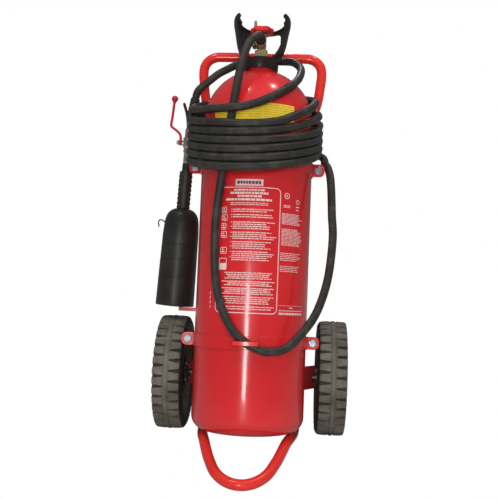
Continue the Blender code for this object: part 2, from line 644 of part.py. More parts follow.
def hose():
    place(tube("hose_front", hose_path(FRONT_ROUTE, 0.032), HOSE_R, 2), BLACK_RUBBER)
    place(tube("hose_top", hose_path(TOP_ROUTE, 0.032), HOSE_R, 2), BLACK_RUBBER)
    outlines = [coil_outline(HOSE_R), coil_outline(-HOSE_R)]
    ring = as_mesh(plate("hose_coil", outlines, COIL_TOP_Z - COIL_LOW_Z))
    for vertex in ring.data.vertices:
        at = vertex.co
        at.z += (COIL_LOW_Z + COIL_TOP_Z) / 2 + COIL_SLOPE_Y * (at.y + COIL_FRONT) + COIL_SLOPE_X * at.x
    place(ring, BLACK_RUBBER)


# Lance: shut-off ball valve, grip and horn


def lance():
    up = LANCE_VALVE - LANCE_MOUTH
    side = Vector((1.0, 0.0, 0.0))
    side = (side - up * side.dot(up) / up.length_squared).normalized()
    up.normalize()
    axes = Matrix((side, up.cross(side), up)).transposed()
    head = pivot("lance_axis", LANCE_VALVE, axes.to_euler())
    bottom = -0.0150
    valve = [(LANCE_BORE_R, 0.0210), (0.0100, 0.0210), (0.0100, 0.0125), (0.0125, 0.0108)]
    valve += [(0.0125, -0.0095), (0.0100, -0.0112), (0.0100, bottom), (LANCE_BORE_R, bottom)]
    seat = 57.0
    valve += arc(0.0, 0.0, BALL_R + GAP, -seat, seat, 7)
    body = turned("ball_valve_body", valve, steps=20, closed=True)
    boolean(body, as_cutter(rod("stem_boss", (-0.0105, 0, 0), (-0.0152, 0, 0), 0.0062, 16), head), "UNION")
    stem_bore = rod("stem_bore", (-0.0070, 0, 0), (-0.0200, 0, 0), LEVER_STEM_R + RUNNING_GAP, 16)
    boolean(body, as_cutter(stem_bore, head))
    place(body, NICKEL, head)
    hose_end(head)
    lever(head)
    swivel_low = -0.0217
    swivel = rod("swivel_nut", (0, 0, bottom - GAP), (0, 0, swivel_low), hexagon(0.020), sides=6)
    boolean(swivel, as_cutter(rod("swivel_bore", (0, 0, 0.0), (0, 0, -0.03), LANCE_BORE_R, 16), head))
    place(swivel, ZINC, head)
    link_low = -0.0445
    link = [(LANCE_BORE_R, swivel_low - GAP), (0.0080, swivel_low - GAP), (0.0090, -0.0240)]
    link += [(0.0090, -0.0420), (0.0080, link_low), (LANCE_BORE_R, link_low)]
    place(turned("lance_connector", link, steps=20, closed=True), NICKEL, head)
    grip_low = -0.1450
    grip = [(LANCE_BORE_R, link_low - GAP), (0.0095, link_low - GAP), (0.0098, -0.0610), (0.0135, -0.0640)]
    grip += [(0.0146, -0.0670), (0.0146, -0.1420), (0.0138, grip_low), (LANCE_BORE_R, grip_low)]
    place(turned("grip", grip, steps=20, closed=True), BLACK_RUBBER, head)
    mouth = -(LANCE_VALVE - LANCE_MOUTH).length
    horn = [(0.005, grip_low - GAP), (0.0140, grip_low - GAP), (0.0205, -0.1473), (0.0286, -0.1531)]
    horn += [(0.0341, -0.1617), (0.0373, -0.1750), (0.0385, -0.1880), (0.0393, -0.2020), (0.0408, -0.2800), (MOUTH_R, mouth)]
    horn += [(0.0396, mouth), (0.0383, -0.2800), (0.0368, -0.2035), (0.0357, -0.1885), (0.0322, -0.1750)]
    horn += [(0.0250, -0.1640), (0.0150, -0.1545), (0.0050, -0.1520)]
    place(turned("horn", horn, steps=28, closed=True), BLACK_PLASTIC, head)


def hose_end(head):
    """The hose tail above the ball valve, the crimped ferrule on the hose, and the lance's hanging rod."""
    tail = [(0.0, 0.0555), (0.0068, 0.0555), (0.0068, 0.0320)]
    tail += [(0.0098, 0.0310), (0.0098, 0.0213), (0.0, 0.0213)]
    place(turned("hose_tail", tail, steps=16), NICKEL, head)
    hose_finish = Vector(TOP_ROUTE[-1])
    tail_top = Vector((-0.1539, 0.0755, 0.6835))
    along = (tail_top - hose_finish).normalized()
    ferrule = [(0.0, 0.0), (0.0090, 0.0), (0.0100, -0.0015)]
    ferrule += [(0.0100, -0.0405), (0.0090, -0.0425), (0.0, -0.0425)]
    obj = place(turned("hose_ferrule_lance", ferrule, steps=20), BLACK_RUBBER)
    obj.location = hose_finish + along * 0.0012
    obj.rotation_euler = Vector((0.0, 0.0, -1.0)).rotation_difference(along).to_euler()
    rod_path = [(-0.1103, RAIL_Y, 0.5900), (-0.1250, 0.0900, 0.5880), (-0.1520, 0.0985, 0.5925)]
    rod_path += [(-0.1600, 0.0990, 0.6080), (-0.1606, 0.0985, 0.6300), (-0.1613, 0.0970, 0.6515)]
    rod_path += [(-0.1625, 0.0965, 0.6680), (-0.1657, 0.0965, 0.6954), (-0.1732, 0.0965, 0.7200)]
    place(tube("lance_hanger", smooth_path(rod_path, 0.010), 0.0032, 2), BLACK_PLASTIC)


def lever(head):
    """The quarter-turn lever, with the stem and ball that it turns. Its axis is the head's X."""
    bored = ball("valve_ball", (0.0, 0.0, 0.0), BALL_R, 16, 8)
    boolean(bored, as_cutter(rod("ball_bore", (0, 0, -0.01), (0, 0, 0.01), BALL_BORE_R, 16), head))
    place(bored, ZINC, head)
    place(rod("valve_stem", (-0.0087, 0, 0), (-0.0272, 0, 0), LEVER_STEM_R, 16), ZINC, head)
    path = [(-0.0186, 0.0, 0.0030), (-0.0190, 0.0, 0.0110), (-0.0215, 0.0, 0.0185), (-0.0300, 0.0, 0.0262)]
    path += [(-0.0410, 0.0, 0.0335), (-0.0425, 0.0, 0.0400), (-0.0412, 0.0, 0.0550), (-0.0395, 0.0, 0.0875)]
    arm = as_mesh(tube("lever", smooth_path(path, 0.006), 0.0028, 2))
    boolean(arm, as_cutter(rod("lever_eye", (-0.0163, 0, 0), (-0.0206, 0, 0), 0.0066, 20), head), "UNION")
    eye_bore_r = LEVER_STEM_R + GAP
    boolean(arm, as_cutter(rod("lever_hole", (-0.0120, 0, 0), (-0.0250, 0, 0), eye_bore_r, 16), head))
    place(arm, RED_PAINT, head)
    knob = ball("lever_knob", (-0.0392, 0.0, 0.0951), 0.0072)
    place(knob, RED_PLASTIC, head)
    nut = rod("lever_nut", (-0.0218, 0, 0), (-0.0258, 0, 0), hexagon(0.010), sides=6)
    boolean(nut, as_cutter(rod("lever_nut_hole", (-0.0150, 0, 0), (-0.0300, 0, 0), eye_bore_r, 16), head))
    place(nut, ZINC, head)


cylinder()
trolley()
clamps()
wheel("left", -1)
wheel("right", 1)
cylinder_valve()
handwheel()
valve_guard()
hose()
lance()

for shaped in parts.objects:
    if shaped.type == "MESH" and shaped.data.polygons:
        shaped.data.shade_smooth()
        shaped.data.set_sharp_from_angle(angle=radians(35))
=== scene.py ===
"""Looks of the wheeled extinguisher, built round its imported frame.

Pieces are shaped upright in the cylinder's own frame, in metres: Z up the cylinder, -Y to the front.
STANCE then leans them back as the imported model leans. Every piece rides on a CAD body.
"""

import json
import random
from bisect import bisect
from math import asin, atan2, ceil, cos, pi, radians, sin, sqrt

import bmesh
import bpy
from mathutils import Matrix, Vector


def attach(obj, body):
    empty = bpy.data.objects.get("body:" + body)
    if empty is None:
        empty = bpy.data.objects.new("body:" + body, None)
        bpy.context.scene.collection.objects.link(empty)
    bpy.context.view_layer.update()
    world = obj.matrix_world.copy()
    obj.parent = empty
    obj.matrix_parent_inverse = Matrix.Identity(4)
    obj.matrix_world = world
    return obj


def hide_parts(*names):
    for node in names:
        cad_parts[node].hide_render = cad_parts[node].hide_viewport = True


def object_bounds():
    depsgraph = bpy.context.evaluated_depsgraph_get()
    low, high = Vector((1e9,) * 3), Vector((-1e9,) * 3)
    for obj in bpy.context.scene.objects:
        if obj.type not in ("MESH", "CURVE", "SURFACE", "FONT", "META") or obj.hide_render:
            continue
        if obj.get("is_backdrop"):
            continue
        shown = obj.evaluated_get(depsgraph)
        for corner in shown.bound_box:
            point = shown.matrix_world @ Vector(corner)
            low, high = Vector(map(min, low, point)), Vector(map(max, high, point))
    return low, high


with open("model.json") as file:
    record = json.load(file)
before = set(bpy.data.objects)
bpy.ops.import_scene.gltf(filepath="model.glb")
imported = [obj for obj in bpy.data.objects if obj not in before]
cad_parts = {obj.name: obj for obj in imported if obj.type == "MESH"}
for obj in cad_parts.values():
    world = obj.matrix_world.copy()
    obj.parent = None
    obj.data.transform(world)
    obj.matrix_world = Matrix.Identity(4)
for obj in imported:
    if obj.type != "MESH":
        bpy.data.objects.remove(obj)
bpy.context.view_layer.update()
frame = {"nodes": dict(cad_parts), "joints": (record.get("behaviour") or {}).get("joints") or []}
scene = bpy.context.scene

# The cylinder's frame in the row's frame, from the handwheel's axis
HANDWHEEL_PIVOT = Vector((0.0, 0.0, 0.855))
handwheel_joint = next(j for j in frame["joints"] if j["name"] == "handwheel_turn")
lean = atan2(handwheel_joint["axis"][1], handwheel_joint["axis"][2])
TILT = Matrix.Rotation(-lean, 4, "X")
STANCE = Matrix.Translation(Vector(handwheel_joint["pos_m"]) - TILT @ HANDWHEEL_PIVOT) @ TILT

CYLINDER_R = 0.1145
SHOULDER_Z = 0.653
TUBE_R = 0.0105
RAIL_X = 0.0985
RAIL_Y = 0.0835
WHEEL_X = 0.174
AXLE_Y = 0.1275
AXLE_Z = 0.125
CLAMP_Z = (0.204, 0.5595)
CLAMP_SPLIT_Y = -0.0062
CLAMP_SHEET = 0.003
BOLT_X = 0.1282
OUTLET_Z = 0.822
WHEEL_LOW_Z = 0.8495
LANCE_VALVE = Vector((-0.1568, 0.0795, 0.628))
LANCE_MOUTH = Vector((-0.1757, 0.105, 0.271))

# The hose
HOSE_R = 0.0083
COIL_X = -0.0075
COIL_HALF_X = 0.1325
COIL_CORNER = 0.008
COIL_FRONT = 0.148
COIL_REAR = 0.1245
COIL_LOW_Z = 0.531
COIL_PITCH = 0.017
COIL_TURNS = 5
COIL_SLOPE_Y = 0.33
COIL_SLOPE_X = 0.03

FRONT_ROUTE = [
    (0.0, -0.0606, 0.822), (-0.001, -0.0696, 0.8219), (-0.0135, -0.082, 0.813),
    (-0.022, -0.093, 0.7945), (-0.0285, -0.102, 0.7723), (-0.0334, -0.109, 0.7481),
    (-0.0373, -0.1135, 0.7199), (-0.0414, -0.1155, 0.6923), (-0.045, -0.1155, 0.666),
    (-0.048, -0.115, 0.64), (-0.0525, -0.114, 0.612), (-0.056, -0.1132, 0.588),
    (-0.0582, -0.1122, 0.56), (-0.0611, -0.1102, 0.535), (-0.0688, -0.103, 0.47),
    (-0.0717, -0.1004, 0.411), (-0.0675, -0.1032, 0.332), (-0.0536, -0.1116, 0.2745),
    (-0.029, -0.1225, 0.229), (-0.0069, -0.1275, 0.208), (0.0167, -0.13, 0.196),
    (0.0415, -0.127, 0.1894), (0.0733, -0.116, 0.1958), (0.1022, -0.1025, 0.223),
    (0.1312, -0.087, 0.2663), (0.1516, -0.071, 0.3318), (0.1598, -0.055, 0.412),
    (0.1575, -0.04, 0.4633), (0.1555, -0.02, 0.516), (0.153, -0.003, 0.548), (0.148, 0.015, 0.57),
    (0.142, 0.029, 0.581),
]
TOP_ROUTE = [
    (0.125, 0.005, 0.677), (0.1215, 0.03, 0.688), (0.109, 0.053, 0.699), (0.092, 0.07, 0.7065),
    (0.065, 0.092, 0.7125), (0.03, 0.106, 0.7155), (0.0, 0.109, 0.715), (-0.03, 0.106, 0.7125),
    (-0.065, 0.093, 0.7065), (-0.09, 0.072, 0.699), (-0.11, 0.05, 0.69), (-0.13, 0.02, 0.677),
    (-0.14, -0.01, 0.664), (-0.134, -0.056, 0.6485), (-0.109, -0.1, 0.6355),
    (-0.065, -0.134, 0.6262), (-0.01, -0.148, 0.6224), (0.045, -0.137, 0.6308),
    (0.087, -0.107, 0.6545), (0.1085, -0.072, 0.6745), (0.1165, -0.03, 0.695),
    (0.1155, 0.01, 0.709), (0.1045, 0.04, 0.72), (0.082, 0.064, 0.728), (0.053, 0.083, 0.7335),
    (0.015, 0.094, 0.735), (-0.03, 0.092, 0.731), (-0.065, 0.079, 0.723), (-0.092, 0.057, 0.714),
    (-0.112, 0.03, 0.703), (-0.129, 0.005, 0.691), (-0.136, -0.028, 0.679), (-0.129, -0.064, 0.667),
    (-0.109, -0.093, 0.66), (-0.0806, -0.115, 0.658), (-0.0548, -0.131, 0.6565),
    (-0.0301, -0.137, 0.6573), (-0.0111, -0.1335, 0.6625), (0.0114, -0.1245, 0.6727),
    (0.0369, -0.113, 0.6883), (0.0511, -0.103, 0.6996), (0.0695, -0.077, 0.72),
    (0.0808, -0.038, 0.7435), (0.085, -0.008, 0.765), (0.0845, 0.018, 0.781),
    (0.0782, 0.035, 0.7942), (0.0658, 0.05, 0.8055), (0.0451, 0.059, 0.8095), (0.0, 0.062, 0.8095),
    (-0.0502, 0.059, 0.8012), (-0.0756, 0.055, 0.7886), (-0.0954, 0.052, 0.7761),
    (-0.1149, 0.05, 0.759), (-0.129, 0.0515, 0.7475), (-0.137, 0.054, 0.74),
    (-0.1409, 0.0576, 0.7335), (-0.143, 0.0605, 0.7255),
]


# ---------------------------------------------------------------- materials


def nodes_of(name):
    made = bpy.data.materials.new(name)
    made.use_nodes = True
    tree = made.node_tree
    return made, tree, tree.nodes["Principled BSDF"]


def link(tree, source, output, target, socket):
    tree.links.new(source.outputs[output], target.inputs[socket])


def noise(tree, scale, detail=3.0):
    """A noise texture in the piece's own coordinates."""
    where = tree.nodes.new("ShaderNodeTexCoord")
    made = tree.nodes.new("ShaderNodeTexNoise")
    made.inputs["Scale"].default_value = scale
    made.inputs["Detail"].default_value = detail
    link(tree, where, "Object", made, "Vector")
    return made


def ramp(tree, source, output, stops):
    """A colour ramp over a factor, between two stops of (position, colour)."""
    made = tree.nodes.new("ShaderNodeValToRGB")
    for element, (position, color) in zip(made.color_ramp.elements, stops):
        element.position = position
        element.color = (*color, 1.0)
    link(tree, source, output, made, "Fac")
    return made


def spread(tree, source, low, high, socket):
    """Maps a 0 to 1 factor between low and high, into the shader's socket."""
    made = tree.nodes.new("ShaderNodeMapRange")
    made.inputs["From Min"].default_value = 0.3
    made.inputs["From Max"].default_value = 0.7
    made.inputs["To Min"].default_value = low
    made.inputs["To Max"].default_value = high
    link(tree, source, "Fac", made, "Value")
    tree.links.new(made.outputs["Result"], socket)


def bumped(tree, shader, source, strength, distance):
    """Bump from the source's height."""
    bump = tree.nodes.new("ShaderNodeBump")
    bump.inputs["Strength"].default_value = strength
    bump.inputs["Distance"].default_value = distance
    link(tree, source, "Fac", bump, "Height")
    link(tree, bump, "Normal", shader, "Normal")


def finish(name, light, dark, rough, metallic=0.0, coat=0.0, tone=6.0,
           grain=(400.0, 0.08, 0.0004), dust=None, painted_shade=None):
    """A worn finish in two tones, with uneven gloss and a fine grain.

    rough is the least and the most roughness. grain is its scale, strength and height. dust is a
    colour and its share. The last is the colour of painted shade, laid on by a mesh's layer of that
    name.
    """
    made, tree, shader = nodes_of(name)
    clouds = noise(tree, tone, 4.0)
    color = ramp(tree, clouds, "Fac", [(0.35, dark), (0.62, light)])
    if dust:
        dust_color, amount = dust
        specks = noise(tree, 55.0, 8.0)
        share = ramp(tree, specks, "Fac", [(0.52, (0.0, 0.0, 0.0)), (0.75, (amount, amount, amount))])
        mixed = tree.nodes.new("ShaderNodeMix")
        mixed.data_type = "RGBA"
        mixed.inputs["B"].default_value = (*dust_color, 1.0)
        link(tree, share, "Color", mixed, "Factor")
        link(tree, color, "Color", mixed, "A")
        link(tree, mixed, "Result", shader, "Base Color")
    else:
        link(tree, color, "Color", shader, "Base Color")
    if painted_shade:
        # painted shade: where the mesh's layer marks it, the colour is darkened towards a shade colour
        shade_mask = tree.nodes.new("ShaderNodeAttribute")
        shade_mask.attribute_name = "painted_shade"
        with_shade = tree.nodes.new("ShaderNodeMix")
        with_shade.data_type = "RGBA"
        with_shade.inputs["B"].default_value = (*painted_shade, 1.0)
        link(tree, shade_mask, "Fac", with_shade, "Factor")
        tree.links.new(shader.inputs["Base Color"].links[0].from_socket, with_shade.inputs["A"])
        link(tree, with_shade, "Result", shader, "Base Color")
    shader.inputs["Metallic"].default_value = metallic
    shader.inputs["Coat Weight"].default_value = coat
    shader.inputs["Coat Roughness"].default_value = 0.06
    smudges = noise(tree, 14.0, 5.0)
    spread(tree, smudges, rough[0], rough[1], shader.inputs["Roughness"])
    fine = noise(tree, grain[0], 2.0)
    bumped(tree, shader, fine, grain[1], grain[2])
    return made


SHELL_RED = finish("shell_red", (0.66, 0.022, 0.026), (0.57, 0.014, 0.018), (0.16, 0.26), coat=0.4,
                   tone=3.0, grain=(260.0, 0.05, 0.0004))
TUBE_RED = finish("tube_red", (0.74, 0.028, 0.018), (0.64, 0.02, 0.014), (0.18, 0.3), coat=0.4,
                  tone=9.0, grain=(320.0, 0.06, 0.0004))
BRACKET_RED = finish("bracket_red", (0.72, 0.05, 0.05), (0.62, 0.038, 0.038), (0.3, 0.45), tone=12.0)
KNOB_RED = finish("knob_red", (0.7, 0.03, 0.024), (0.56, 0.02, 0.018), (0.2, 0.32), coat=0.3,
                  tone=30.0)
LEVER_RED = finish("lever_red", (0.52, 0.015, 0.022), (0.42, 0.01, 0.016), (0.2, 0.34), coat=0.3,
                   tone=40.0)
BLACK = finish("satin_black", (0.025, 0.023, 0.021), (0.015, 0.014, 0.013), (0.31, 0.43), tone=18.0,
               grain=(900.0, 0.25, 0.0003))
GUARD_BLACK = finish("guard_black", (0.014, 0.014, 0.012), (0.009, 0.009, 0.008), (0.26, 0.4),
                     tone=25.0, grain=(700.0, 0.15, 0.0003))
HOSE_BLACK = finish("hose_black", (0.031, 0.029, 0.025), (0.02, 0.019, 0.016), (0.38, 0.54), tone=28.0,
                    grain=(620.0, 0.35, 0.0004), dust=((0.11, 0.11, 0.1), 0.3))
FERRULE_BLACK = finish("ferrule_black", (0.026, 0.025, 0.022), (0.017, 0.016, 0.014), (0.35, 0.5),
                       tone=60.0)
# the tyre's last colour is painted shade, for its groove floors and its inner sidewall
TYRE = finish("tyre_rubber", (0.15, 0.137, 0.11), (0.082, 0.076, 0.062), (0.62, 0.8), tone=26.0,
              grain=(500.0, 0.5, 0.0006), dust=((0.24, 0.22, 0.18), 0.5), painted_shade=(0.016, 0.014, 0.011))
BRASS = finish("worn_brass", (0.82, 0.66, 0.36), (0.5, 0.38, 0.18), (0.28, 0.44), metallic=0.7,
               tone=60.0, grain=(900.0, 0.1, 0.0002), dust=((0.16, 0.22, 0.13), 0.35))
ZINC = finish("zinc_plate", (0.6, 0.63, 0.7), (0.44, 0.47, 0.54), (0.34, 0.5), metallic=1.0,
              tone=80.0, grain=(900.0, 0.08, 0.0002))
STEEL = finish("dull_steel", (0.22, 0.21, 0.2), (0.13, 0.13, 0.12), (0.42, 0.6), metallic=1.0,
               tone=30.0, grain=(700.0, 0.1, 0.0002))
NICKEL = finish("nickel_plate", (0.86, 0.84, 0.76), (0.74, 0.71, 0.62), (0.16, 0.28), metallic=1.0,
                tone=50.0, grain=(900.0, 0.06, 0.0002))
PRINT = finish("white_print", (0.78, 0.6, 0.58), (0.66, 0.46, 0.44), (0.35, 0.5), tone=50.0,
               grain=(900.0, 0.1, 0.0001))
PLATE_INK = finish("plate_print", (0.2, 0.03, 0.045), (0.15, 0.022, 0.034), (0.35, 0.5), tone=50.0)
FILM = finish("yellow_film", (0.84, 0.62, 0.05), (0.74, 0.52, 0.032), (0.18, 0.3), coat=0.5, tone=20.0,
              grain=(200.0, 0.1, 0.0004))
FILM_INK = finish("yellow_film_ink", (0.42, 0.29, 0.02), (0.34, 0.23, 0.02), (0.3, 0.4), tone=20.0)


# ---------------------------------------------------------------- shapes


def merge(*shapes):
    """One bmesh out of several, each left as its own closed shell."""
    whole = bmesh.new()
    for shape in shapes:
        mesh = bpy.data.meshes.new("part")
        shape.to_mesh(mesh)
        shape.free()
        whole.from_mesh(mesh)
        bpy.data.meshes.remove(mesh)
    return whole


def moved(shape, matrix):
    bmesh.ops.transform(shape, matrix=matrix, verts=shape.verts)
    if matrix.determinant() < 0:
        bmesh.ops.reverse_faces(shape, faces=shape.faces)
    return shape


def faced(shape):
    """The shape with its faces turned outwards."""
    bmesh.ops.recalc_face_normals(shape, faces=shape.faces)
    return shape


def strip_rows(shape, rows):
    """Quads between rings of vertices. A ring of one vertex is a pole."""
    for one, two in zip(rows, rows[1:]):
        count = max(len(one), len(two))
        for i in range(count):
            j = (i + 1) % count
            corners = [one[i % len(one)], one[j % len(one)], two[j % len(two)], two[i % len(two)]]
            corners = list(dict.fromkeys(corners))
            if len(corners) > 2:
                shape.faces.new(corners)


def lathe(profile, steps=96, closed=False, bend=None):
    """A profile (r, z) turned about Z. bend(r, turn, z) may change the radius."""
    shape = bmesh.new()
    rows = []
    for r, z in profile:
        if r < 1e-7:
            rows.append([shape.verts.new((0.0, 0.0, z))])
            continue
        row = []
        for i in range(steps):
            turn = 2 * pi * i / steps
            reach = bend(r, turn, z) if bend else r
            row.append(shape.verts.new((reach * cos(turn), reach * sin(turn), z)))
        rows.append(row)
    if closed:
        rows.append(rows[0])
    strip_rows(shape, rows)
    if not closed:
        for row in (rows[0], rows[-1]):
            if len(row) > 1:
                shape.faces.new(row)
    return faced(shape)


def rounded(profile, radius=0.0006, steps=3, closed=False):
    """The profile with each of its corners rounded."""
    out = []
    count = len(profile)
    for i, point in enumerate(profile):
        here = Vector(point)
        if not closed and i in (0, count - 1):
            out.append(tuple(here))
            continue
        before = Vector(profile[i - 1]) - here
        after = Vector(profile[(i + 1) % count]) - here
        if before.length < 1e-9 or after.length < 1e-9 or pi - before.angle(after) < radians(8):
            out.append(tuple(here))
            continue
        cut = min(radius, before.length * 0.45, after.length * 0.45)
        start, end = here + before.normalized() * cut, here + after.normalized() * cut
        for k in range(steps + 1):
            t = k / steps
            out.append(tuple((1 - t) ** 2 * start + 2 * t * (1 - t) * here + t**2 * end))
    return out


def smooth_path(points, spacing):
    """A Catmull-Rom curve through the points, sampled about every spacing metres."""
    points = [Vector(p) for p in points]
    ends = [2 * points[0] - points[1]] + points + [2 * points[-1] - points[-2]]
    path = []
    for before, a, b, after in zip(ends, ends[1:], ends[2:], ends[3:]):
        count = max(1, round((b - a).length / spacing))
        for i in range(count):
            t = i / count
            path.append(0.5 * (2 * a + (b - before) * t + (2 * before - 5 * a + 4 * b - after) * t**2
                               + (3 * a - before - 3 * b + after) * t**3))
    return path + [points[-1]]


def sweep(path, radius, sides=24, round_ends=0.0, loop=False):
    """A tube along path. Its ends may be domed. radius may be a function of the distance."""
    shape = bmesh.new()
    path = [Vector(p) for p in path]
    count = len(path)
    headings = []
    for i in range(count):
        ahead = path[(i + 1) % count] if loop or i < count - 1 else path[i]
        behind = path[i - 1] if loop or i else path[i]
        headings.append((ahead - behind).normalized())
    side = headings[0].orthogonal().normalized()
    rows, along = [], 0.0
    for i, (point, heading) in enumerate(zip(path, headings)):
        if i:
            along += (point - path[i - 1]).length
            side = headings[i - 1].rotation_difference(heading) @ side
            side = (side - heading * side.dot(heading)).normalized()
        other = heading.cross(side)
        reach = radius(along) if callable(radius) else radius
        row = []
        for k in range(sides):
            turn = 2 * pi * k / sides
            row.append(shape.verts.new(point + reach * (side * cos(turn) + other * sin(turn))))
        rows.append(row)
    if loop:
        # the twist gathered round the loop is taken up by starting the last strip at the nearest vertex
        first = rows[0][0].co
        offset = min(range(sides), key=lambda k: (rows[-1][k].co - first).length)
        rows.append(rows[0][-offset:] + rows[0][:-offset] if offset else rows[0])
        strip_rows(shape, rows)
    else:
        for at, outward in ((0, -headings[0]), (-1, headings[-1])):
            if not round_ends:
                continue
            row, point = rows[at], path[at]
            for lift in (0.38, 0.71, 0.92):
                shrink, rise = sqrt(1 - lift**2), outward * lift * round_ends
                ring = [shape.verts.new(point + (v.co - point) * shrink + rise) for v in row]
                rows.insert(0, ring) if at == 0 else rows.append(ring)
            tip = [shape.verts.new(point + outward * round_ends)]
            rows.insert(0, tip) if at == 0 else rows.append(tip)
        strip_rows(shape, rows)
        for row in (rows[0], rows[-1]):
            if len(row) > 1:
                shape.faces.new(row)
    return faced(shape)


def slab(outline, low, high):
    """A flat outline in XY made solid between two heights."""
    shape = bmesh.new()
    rows = [[shape.verts.new((x, y, z)) for x, y in outline] for z in (low, high)]
    strip_rows(shape, rows)
    shape.faces.new(rows[0])
    shape.faces.new(rows[1])
    return faced(shape)


def block(low, high):
    shape = bmesh.new()
    low, high = Vector(low), Vector(high)
    stretch = Matrix.Diagonal((*(high - low), 1.0))
    bmesh.ops.create_cube(shape, size=1.0, matrix=Matrix.Translation((low + high) / 2) @ stretch)
    return shape


def hexagon(width, low, high, chamfer=0.12):
    """A hexagonal nut, width across its flats, with turned-down corners."""
    corner = width / sqrt(3)
    drop = corner * chamfer
    shape = bmesh.new()
    rows = []
    for z, tight in ((low, True), (low + drop, False), (high - drop, False), (high, True)):
        row = []
        for i in range(36):
            turn = 2 * pi * i / 36
            flat = (width / 2) / cos((turn + pi / 6) % (pi / 3) - pi / 6)
            reach = min(flat, width / 2 * 0.985) if tight else min(flat, corner * 0.992)
            row.append(shape.verts.new((reach * cos(turn), reach * sin(turn), z)))
        rows.append(row)
    strip_rows(shape, rows)
    shape.faces.new(rows[0])
    shape.faces.new(rows[-1])
    return faced(shape)


def toward(origin, direction, turn=0.0):
    """The matrix that takes Z to direction, at origin."""
    spin = Vector((0.0, 0.0, 1.0)).rotation_difference(Vector(direction)).to_matrix().to_4x4()
    return Matrix.Translation(origin) @ spin @ Matrix.Rotation(turn, 4, "Z")


def arc(centre_r, centre_z, radius, start_deg, end_deg, count):
    steps = [radians(start_deg + (end_deg - start_deg) * i / (count - 1)) for i in range(count)]
    return [(centre_r + radius * cos(a), centre_z + radius * sin(a)) for a in steps]


def piece(name, shape, look, body, stands_for=(), bevel=0.0, angle=35, place=None):
    """The finished piece: its mesh in the row's frame, riding on its body."""
    mesh = bpy.data.meshes.new(name)
    shape.to_mesh(mesh)
    shape.free()
    mesh.transform(STANCE @ (place or Matrix()))
    obj = bpy.data.objects.new(name, mesh)
    scene.collection.objects.link(obj)
    mesh.materials.append(look)
    mesh.shade_smooth()
    mesh.set_sharp_from_angle(angle=radians(angle))
    if bevel:
        edges = obj.modifiers.new("edges", "BEVEL")
        edges.width = bevel
        edges.segments = 2
        edges.limit_method = "ANGLE"
        edges.angle_limit = radians(angle)
        edges.harden_normals = True
    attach(obj, body)
    if stands_for:
        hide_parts(*stands_for)
    return obj


def carved(shape, cutters):
    """The shape with the cutters taken away, exactly."""
    mesh = bpy.data.meshes.new("carved")
    shape.to_mesh(mesh)
    shape.free()
    obj = bpy.data.objects.new("carved", mesh)
    scene.collection.objects.link(obj)
    helpers = []
    for cutter in cutters:
        cutter_mesh = bpy.data.meshes.new("cutter")
        cutter.to_mesh(cutter_mesh)
        cutter.free()
        helper = bpy.data.objects.new("cutter", cutter_mesh)
        scene.collection.objects.link(helper)
        helpers.append(helper)
        boolean = obj.modifiers.new("cut", "BOOLEAN")
        boolean.operation = "DIFFERENCE"
        boolean.object = helper
    graph = bpy.context.evaluated_depsgraph_get()
    result = bpy.data.meshes.new_from_object(obj.evaluated_get(graph))
    out = bmesh.new()
    out.from_mesh(result)
    for helper in [obj, *helpers]:
        bpy.data.objects.remove(helper)
    return out


# ---------------------------------------------------------------- the hose


def coil_outline(steps=1440):
    """The coil's plan: a half ellipse at the front, squarer round the right rail than the left one."""
    outline = []
    for i in range(steps):
        turn = 2 * pi * i / steps
        right, rear = cos(turn) > 0, sin(turn) > 0
        power = (0.25 if right else 0.62) if rear else 1.0
        depth = COIL_REAR if rear else COIL_FRONT
        corner = (COIL_CORNER if right else COIL_CORNER / 2) * sin(turn) ** power if rear else 0.0
        x = (COIL_HALF_X + corner) * abs(cos(turn)) ** power
        y = depth * abs(sin(turn)) ** power
        outline.append(Vector((COIL_X + (x if right else -x), y if rear else -y)))
    return outline


def coil_route(spacing=0.022):
    """The turns between the front route's end and the top route's start."""
    outline = coil_outline()
    count = len(outline)
    lengths = [(outline[(i + 1) % count] - outline[i]).length for i in range(count)]
    around = sum(lengths)
    travelled = [0.0]
    for length in lengths:
        travelled.append(travelled[-1] + length)

    def on_outline(distance):
        distance %= around
        low = bisect(travelled, distance) - 1
        share = (distance - travelled[low]) / max(lengths[low], 1e-9)
        return outline[low].lerp(outline[(low + 1) % count], share)

    entry, leave = Vector(FRONT_ROUTE[-1]), Vector(TOP_ROUTE[0])
    start = min(range(count // 4), key=lambda i: abs(outline[i].y - entry.y))
    front_middle = travelled[3 * count // 4]
    finish_at = min(range(count // 4), key=lambda i: abs(outline[i].y - leave.y))
    start_d = travelled[start]
    end_d = travelled[finish_at] + COIL_TURNS * around

    def on_helix(distance):
        at = on_outline(distance)
        turns = (distance - front_middle) / around
        z = COIL_LOW_Z + COIL_PITCH * (0.5 + turns)
        z += COIL_SLOPE_Y * (at.y + COIL_FRONT) + COIL_SLOPE_X * at.x
        return Vector((at.x, at.y, z))

    def ease(t):
        t = min(max(t, 0.0), 1.0)
        return 1 - t * t * (3 - 2 * t)

    start_gap = entry - on_helix(start_d)
    end_gap = leave - on_helix(end_d)
    steps = ceil((end_d - start_d) / spacing)
    route = []
    for i in range(1, steps):
        distance = start_d + (end_d - start_d) * i / steps
        point = on_helix(distance)
        point += start_gap * ease((distance - start_d) / 0.16)
        point += end_gap * ease((end_d - distance) / 0.2)
        route.append(point)
    return route


hose_line = smooth_path(FRONT_ROUTE + coil_route() + TOP_ROUTE, 0.0045)
hose = piece("hose", sweep(hose_line, HOSE_R, 20), HOSE_BLACK, "trolley",
             ("hose_front", "hose_top", "hose_coil"))


def rings(low, high, count, root, crest, flat=0.55):
    """A ribbed profile from low to high: crests between root lines."""
    pitch = (high - low) / count
    out = []
    for i in range(count):
        base = low + pitch * i
        out += [
            (root, base), (crest, base + pitch * (1 - flat) / 2),
            (crest, base + pitch * (1 + flat) / 2),
        ]
    return out + [(root, high)]


